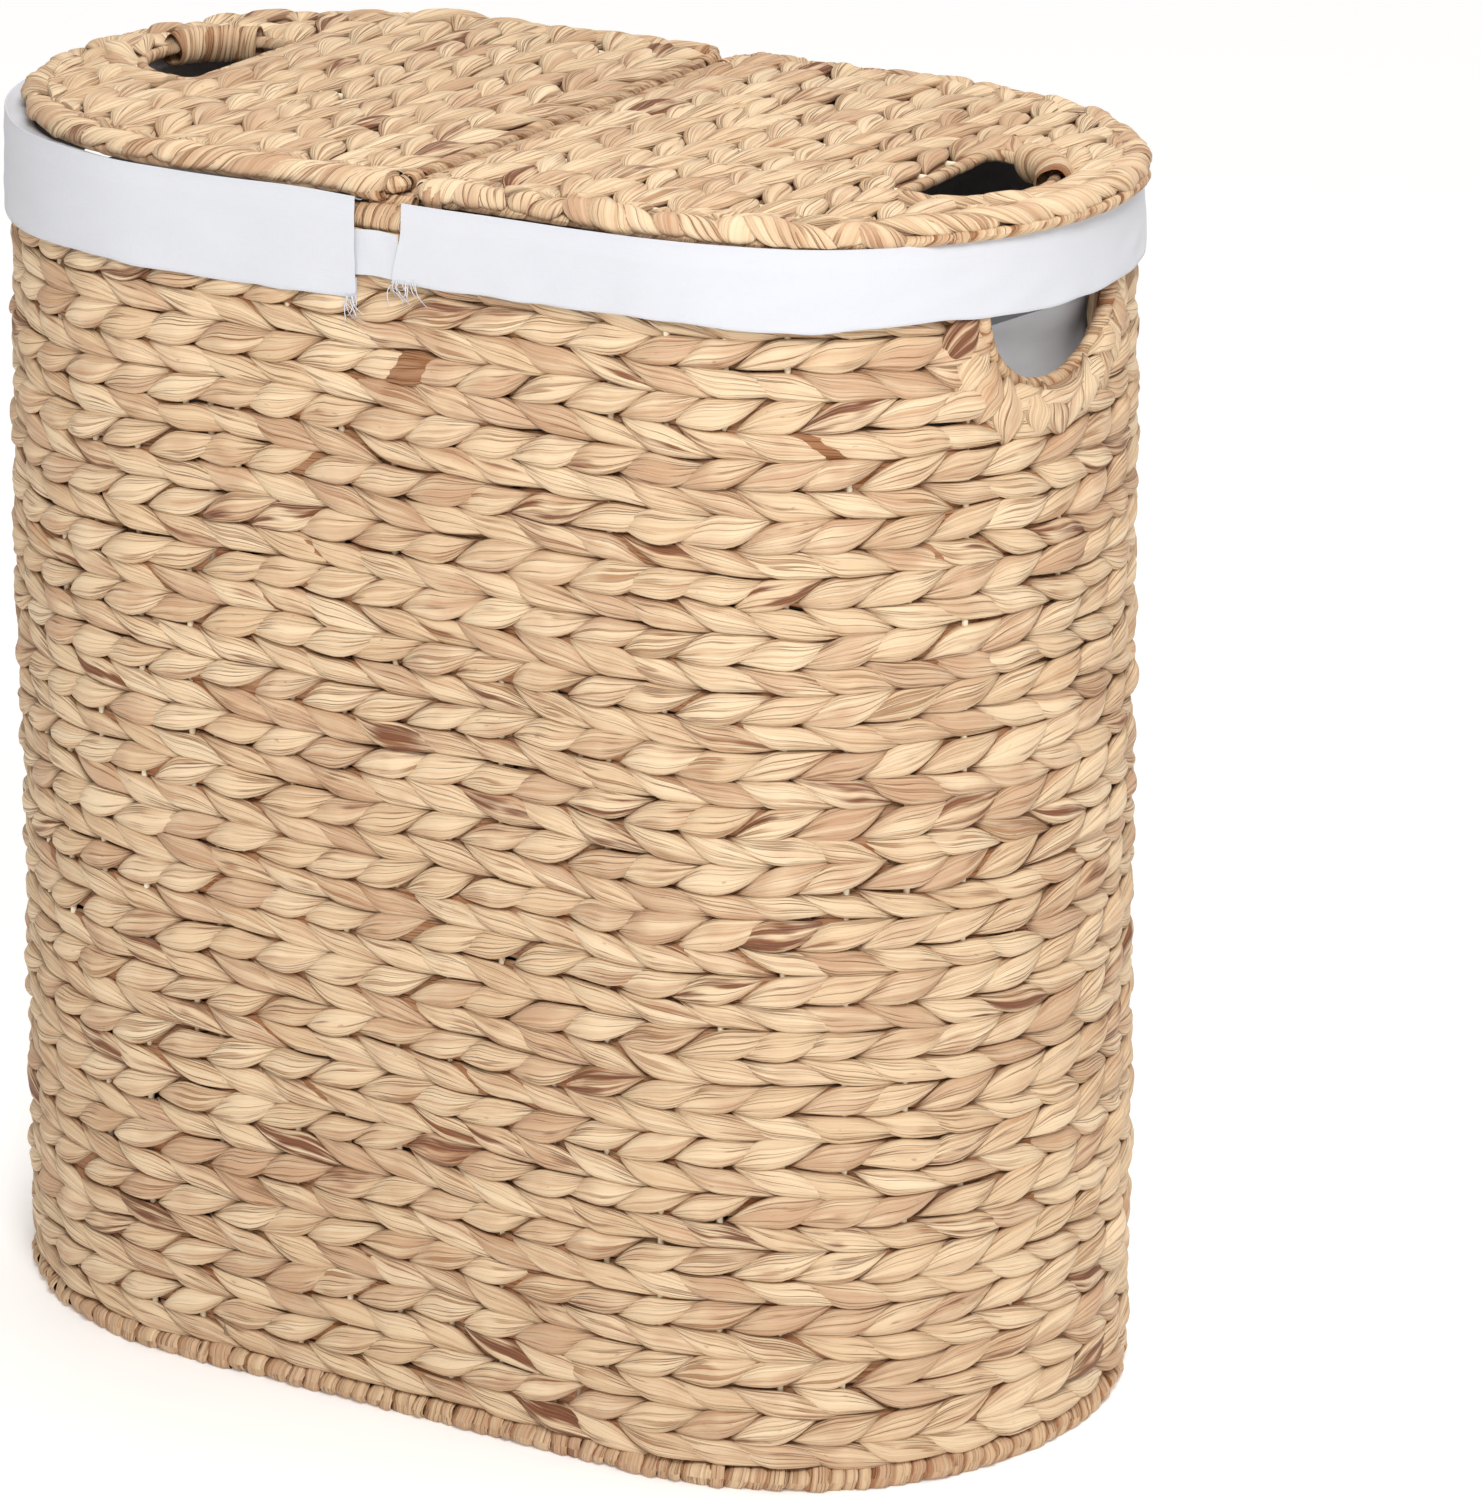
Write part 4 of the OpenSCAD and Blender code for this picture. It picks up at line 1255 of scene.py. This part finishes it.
class BASKET_OT_liners(bpy.types.Operator):
    """Hang the two cloth liners over the rim and join their cuffs with straps"""

    bl_idname = "basket.liners"
    bl_label = "Liners"

    def execute(self, context):
        for side in SIDES:
            self.wall(side)
            self.bottom(side)
            self.divider(side)
        self.straps()
        return {"FINISHED"}

    def wall(self, side):
        n = SIDES[side]
        cuff = RIM_Z - CUFF_HEMS[side]
        profile, legs, folds = liner_profile(cuff)
        cuff_x = CUFF_ENDS[side]
        # the strip runs from the front's inner end, round the basket's end, to the back
        columns = 260
        length = END_X - cuff_x
        arc = math.pi * RIM_PATH
        r = np.linspace(0, 2 * length + arc, columns)[None, :]
        reach, height = profile[:, :1], profile[:, 1:]
        angle = -np.pi / 2 + np.clip((r - length) / RIM_PATH, 0, np.pi)
        straight = np.where(r < length, cuff_x + r, np.where(
            r < length + arc, END_X, END_X - (r - length - arc)))
        row = np.arange(len(profile))[:, None]
        on_cuff = smooth_step((row - legs - folds) / 8)
        loose = ripple(r + 0 * row, height + 0 * r, 21 + n, 0.09) * 0.6 + ripple(
            r * 1.0 + 0 * row, height * 2.2, 23 + n, 0.04) * 0.35
        inside = row < legs
        out = reach + np.where(inside, loose * 1.2 * MM * smooth_step((RIM_Z - height) / 0.05),
                               (0.35 + 0.65 * on_cuff) * 1.15 * MM * (loose + 0.45))
        hem_wave = ripple(r, 0 * r, 31 + n, 0.14) * 1.4 * MM + ripple(r, 0 * r, 33 + n, 0.03) * 0.3 * MM
        z = height + np.where(row >= legs + folds, hem_wave * smooth_step(
            (row - legs - folds) / 15), 0) + 0 * r
        top_wave = ripple(r, 0 * r, 35 + n, 0.1) * 0.5 * MM
        z = z + np.where(inside, 0, top_wave * smooth_step((z - RIM_Z) / (7 * MM)))
        _, hole_angle = end_hole_frame(n)
        # behind the hand hole the cloth sags inwards, with one curved crease
        aside = (n * angle - (hole_angle if n > 0 else hole_angle - math.pi)) * RIM_PATH
        sag = inside * np.exp(-((aside / (46 * MM)) ** 2)) * np.exp(-(((height - 0.53) / 0.042) ** 2))
        crease = np.exp(-(((height - 0.524 - 3 * aside ** 2) / (1.6 * MM)) ** 2))
        out = out - sag * (9 + 1.3 * crease) * MM
        x = n * (straight + out * np.cos(angle))
        y = out * np.sin(angle)
        x, y = np.broadcast_arrays(x, y)
        # the right cuff's ends lean back towards the rim
        end_gap = np.minimum(r, r[:, -1:] - r)
        lean = np.where(inside, 0, 4.5 * MM * (n > 0)) * np.exp(-end_gap / (14 * MM))
        x = x + n * lean * smooth_step((z - RIM_Z + cuff) / cuff)
        places = np.stack([x, y, z], -1)
        outward, aside = from_end_hole(n, x, y)
        slot = inside & (outward > 0.05) & (np.abs(aside) < SLOT_HALF) & (z > SLOT_FOOT) & (z < SLOT_HEAD)
        flat = (2 * length + arc, RIM_Z - BAG_FOOT + 22 * MM + cuff + 10 * MM)
        cloth = sheet_piece(f"{side}_liner_bag", places, flat, "liner_cloth", "basket",
                            [f"{side}_liner"], holes=slot)
        self.frayed_threads(side, cuff, cuff_x)

    def frayed_threads(self, side, cuff, cuff_x):
        """Loose ends of yarn at the two ends of a cuff's hem"""
        n = SIDES[side]
        rng = np.random.default_rng(weave().seed + 130 + n)
        grids = Grids()
        for sign, count in ((-1, 15 if n > 0 else 9), (1, 7)):
            spread = (12 if n > 0 else 5) * MM
            x = n * (cuff_x + rng.uniform(-0.3 * MM, spread, count))[:, None]
            z = RIM_Z - cuff + rng.uniform(-0.5, 3, count)[:, None] * MM
            u = np.linspace(0, 1, 9)[None, :]
            long = rng.uniform(5, 12, count)[:, None] * MM
            sway, curl = rng.normal(0, 0.45, (count, 1)), rng.normal(0, 2.4, (count, 1))
            outward = 0.25 * np.sin(u * np.pi) + 0.08 * np.sin(curl * u * 3)
            middle = np.stack([
                x + long * (sway * u + 0.16 * np.sin(curl * u * 2.5)),
                sign * (RIM_PATH + 8.2 * MM + long * outward),
                z - long * (u + 0.14 * np.sin(curl * u * 2)) + 0 * x], -1)
            phi = np.linspace(0, TAU, 5, endpoint=False)
            thin = 0.3 * MM * (1 - 0.4 * u)[..., None]
            ring = np.stack([np.cos(phi), np.sin(phi), 0 * phi], -1)
            places = middle[:, :, None, :] + ring[None, None] * thin[..., None]
            shape = places.shape[:3]
            grids.add(places, np.zeros((*shape, 2)), np.zeros((*shape, 4)), True)
        return grids.piece(f"{side}_cuff_threads", "liner_cloth", "basket")

    def bottom(self, side):
        n = SIDES[side]
        inner = RIM_PATH - 7.6 * MM
        bag_x = 0.5 * MM if n < 0 else 14.8 * MM
        u = np.linspace(0, 1, 70)[None, :]
        v = np.linspace(-1, 1, 90)[:, None]
        y = v * inner
        far = END_X + np.sqrt(np.maximum(inner ** 2 - y ** 2, 0))
        x = bag_x + u * (far - bag_x)
        z = BAG_FOOT + 0.8 * MM + (ripple(x, y + 0 * x, 41 + n, 0.12) + 1) * 1.2 * MM
        places = np.stack([n * x, y + 0 * x, z], -1)
        flat = (END_X + inner - bag_x, 2 * inner)
        cloth = sheet_piece(f"{side}_liner_bottom", places, flat, "liner_cloth", "basket")
        area = (END_X - bag_x) * 2 * inner + math.pi * inner ** 2 / 2

    def divider(self, side):
        n = SIDES[side]
        inner = RIM_PATH - 7.4 * MM
        x0 = (high("left_liner", 0) - 0.8 * MM) if n < 0 else 14.8 * MM
        y = np.linspace(-inner, inner, 110)[None, :]
        z = np.linspace(BAG_FOOT + 1 * MM, RIM_Z + 1 * MM, 80)[:, None]
        bulge = ripple(y + 0 * z, z + 0 * y, 51 + n, 0.2) * 1.3 * MM * smooth_step(
            (RIM_Z - z) / 0.08) * smooth_step((inner - np.abs(y)) / 0.03)
        places = np.stack([x0 + n * np.abs(bulge), y + 0 * z, z + 0 * y], -1)
        flat = (2 * inner, RIM_Z - BAG_FOOT)
        cloth = sheet_piece(f"{side}_liner_divider", places, flat, "liner_cloth", "basket")

    def straps(self):
        for end, sign in (("front", -1), ("back", 1)):
            node = f"{end}_strap"
            x0, x1 = low(node, 0) - 3 * MM, high(node, 0) + 2.5 * MM
            z0, z1 = low(node, 2), high(node, 2)
            x = np.linspace(x0, x1, 26)[None, :]
            z = np.linspace(z0, z1, 18)[:, None]
            y = RIM_PATH + 6.9 * MM + 0.35 * MM * ripple(x + 0 * z, z + 0 * x, 61 + sign, 0.02)
            z = z + 0.5 * MM * ripple(x + 0 * z, 0 * z + 0 * x, 63, 0.03)
            places = np.stack([x + 0 * z, sign * y, z + 0 * x], -1)
            cloth = sheet_piece(node + "_cloth", places, (x1 - x0, z1 - z0), "liner_cloth", "basket",
                                [node])


class BASKET_OT_frame_finish(bpy.types.Operator):
    """Give the wires and the stakes their finish"""

    bl_idname = "basket.frame_finish"
    bl_label = "Wires and stakes"

    def execute(self, context):
        for name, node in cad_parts.items():
            if node.hide_render:
                continue
            slot = "stakes" if name.endswith("stakes") else "frame_steel"
            node.data.materials.clear()
            node.data.materials.append(material(slot))
        return {"FINISHED"}


# ---------- stage ----------

# the basket's middle, which the camera and the lights are set about
AIM = Vector((0, 0, 0.3))
FLOOR_HALF = 6.0


class BASKET_OT_stage(bpy.types.Operator):
    """Set up the floor, the lights and the camera"""

    bl_idname = "basket.stage"
    bl_label = "Stage"

    def execute(self, context):
        s = stage_settings()
        self.floor(s)
        self.lights()
        self.camera(s)
        view = context.scene.view_settings
        view.view_transform = "Standard"
        view.look = "None"
        return {"FINISHED"}

    def floor(self, s):
        clear("floor")
        mesh = bpy.data.meshes.new("floor")
        w = FLOOR_HALF
        mesh.from_pydata([(-w, -w, 0), (w, -w, 0), (w, w, 0), (-w, w, 0)], [], [(0, 1, 2, 3)])
        floor = bpy.data.objects.new("floor", mesh)
        bpy.context.scene.collection.objects.link(floor)
        t = Tree("floor")
        place = t.node("ShaderNodeTexCoord", {}, output=OBJECT_COORDINATES)
        tone = t.noise(place, 3.0, 2.0, 0.5)
        colour = tuple(s.floor)
        t.surface(
            Base_Color=t.mix(tone * 0.06, colour, tuple(c * 0.97 for c in colour)),
            Roughness=0.8, Specular_IOR_Level=0.1, Emission_Color=(1.0, 1.0, 1.0),
            Emission_Strength=0.14)
        mesh.materials.append(t.material)

    def lights(self):
        world = bpy.data.worlds.new("studio")
        bpy.context.scene.world = world
        world.use_nodes = True
        background = world.node_tree.nodes["Background"]
        background.inputs[0].default_value = (1.0, 0.98, 0.95, 1)
        background.inputs[1].default_value = 0.42
        reach = 2.2
        key = bpy.data.lights.new("key", "AREA")
        key.shape, key.size, key.energy = "DISK", 0.8, 2.15 * math.pi * reach ** 2
        self.place_light(key, azimuth=33, elevation=43, reach=reach)
        top = bpy.data.lights.new("top", "SUN")
        top.angle, top.energy = math.radians(60), 1.5
        self.place_light(top, azimuth=165, elevation=60, reach=reach)

    def place_light(self, lamp, azimuth, elevation, reach):
        held = bpy.data.objects.new(lamp.name, lamp)
        az, el = math.radians(azimuth), math.radians(elevation)
        away = Vector((math.sin(az) * math.cos(el), -math.cos(az) * math.cos(el), math.sin(el)))
        held.rotation_euler = away.to_track_quat("Z", "Y").to_euler()
        held.location = AIM + away * reach
        bpy.context.scene.collection.objects.link(held)

    def camera(self, s):
        az, el = s.azimuth, s.elevation
        back = Vector((math.sin(az) * math.cos(el), -math.cos(az) * math.cos(el), math.sin(el)))
        right = Vector((math.cos(az), math.sin(az), 0))
        up = back.cross(right)
        c, r = math.cos(s.roll), math.sin(s.roll)
        right, up = right * c + up * r, up * c - right * r
        eye = AIM + back * s.distance + right * s.slide + up * s.lift
        lens = bpy.data.cameras.new("camera")
        lens.sensor_fit, lens.sensor_width, lens.lens = "HORIZONTAL", 36, s.lens
        lens.clip_start, lens.clip_end = 0.05, 60
        camera = bpy.data.objects.new("camera", lens)
        camera.matrix_world = Matrix((
            (right.x, up.x, back.x, eye.x), (right.y, up.y, back.y, eye.y),
            (right.z, up.z, back.z, eye.z), (0, 0, 0, 1)))
        bpy.context.scene.collection.objects.link(camera)
        bpy.context.scene.camera = camera


# ---------- panel and registration ----------

OPERATORS = (
    BASKET_OT_stage, BASKET_OT_walls, BASKET_OT_base, BASKET_OT_rim, BASKET_OT_hand_holes,
    BASKET_OT_lids, BASKET_OT_ties, BASKET_OT_liners, BASKET_OT_frame_finish)


class BASKET_PT_panel(bpy.types.Panel):
    """Lists the basket's pieces and settings"""

    bl_idname = "BASKET_PT_panel"
    bl_label = "Laundry basket"
    bl_space_type = "VIEW_3D"
    bl_region_type = "UI"
    bl_category = "Basket"

    def draw(self, context):
        for operator in OPERATORS:
            self.layout.operator(operator.bl_idname)
        for group in ("basket_weave", "basket_finish", "basket_stage"):
            settings = getattr(context.scene, group)
            box = self.layout.box()
            for name in settings.__annotations__:
                box.prop(settings, name)


GROUPS = {"basket_weave": BasketWeaveSettings, "basket_finish": BasketFinishSettings,
          "basket_stage": BasketStageSettings}


def register():
    for kind in (*GROUPS.values(), *OPERATORS, BASKET_PT_panel):
        bpy.utils.register_class(kind)
    for name, kind in GROUPS.items():
        setattr(bpy.types.Scene, name, PointerProperty(type=kind))


def unregister():
    for name in GROUPS:
        delattr(bpy.types.Scene, name)
    for kind in reversed((*GROUPS.values(), *OPERATORS, BASKET_PT_panel)):
        bpy.utils.unregister_class(kind)


def main():
    register()
    for operator in OPERATORS:
        group, name = operator.bl_idname.split(".")
        getattr(getattr(bpy.ops, group), name)()


if __name__ == "__main__":
    main()
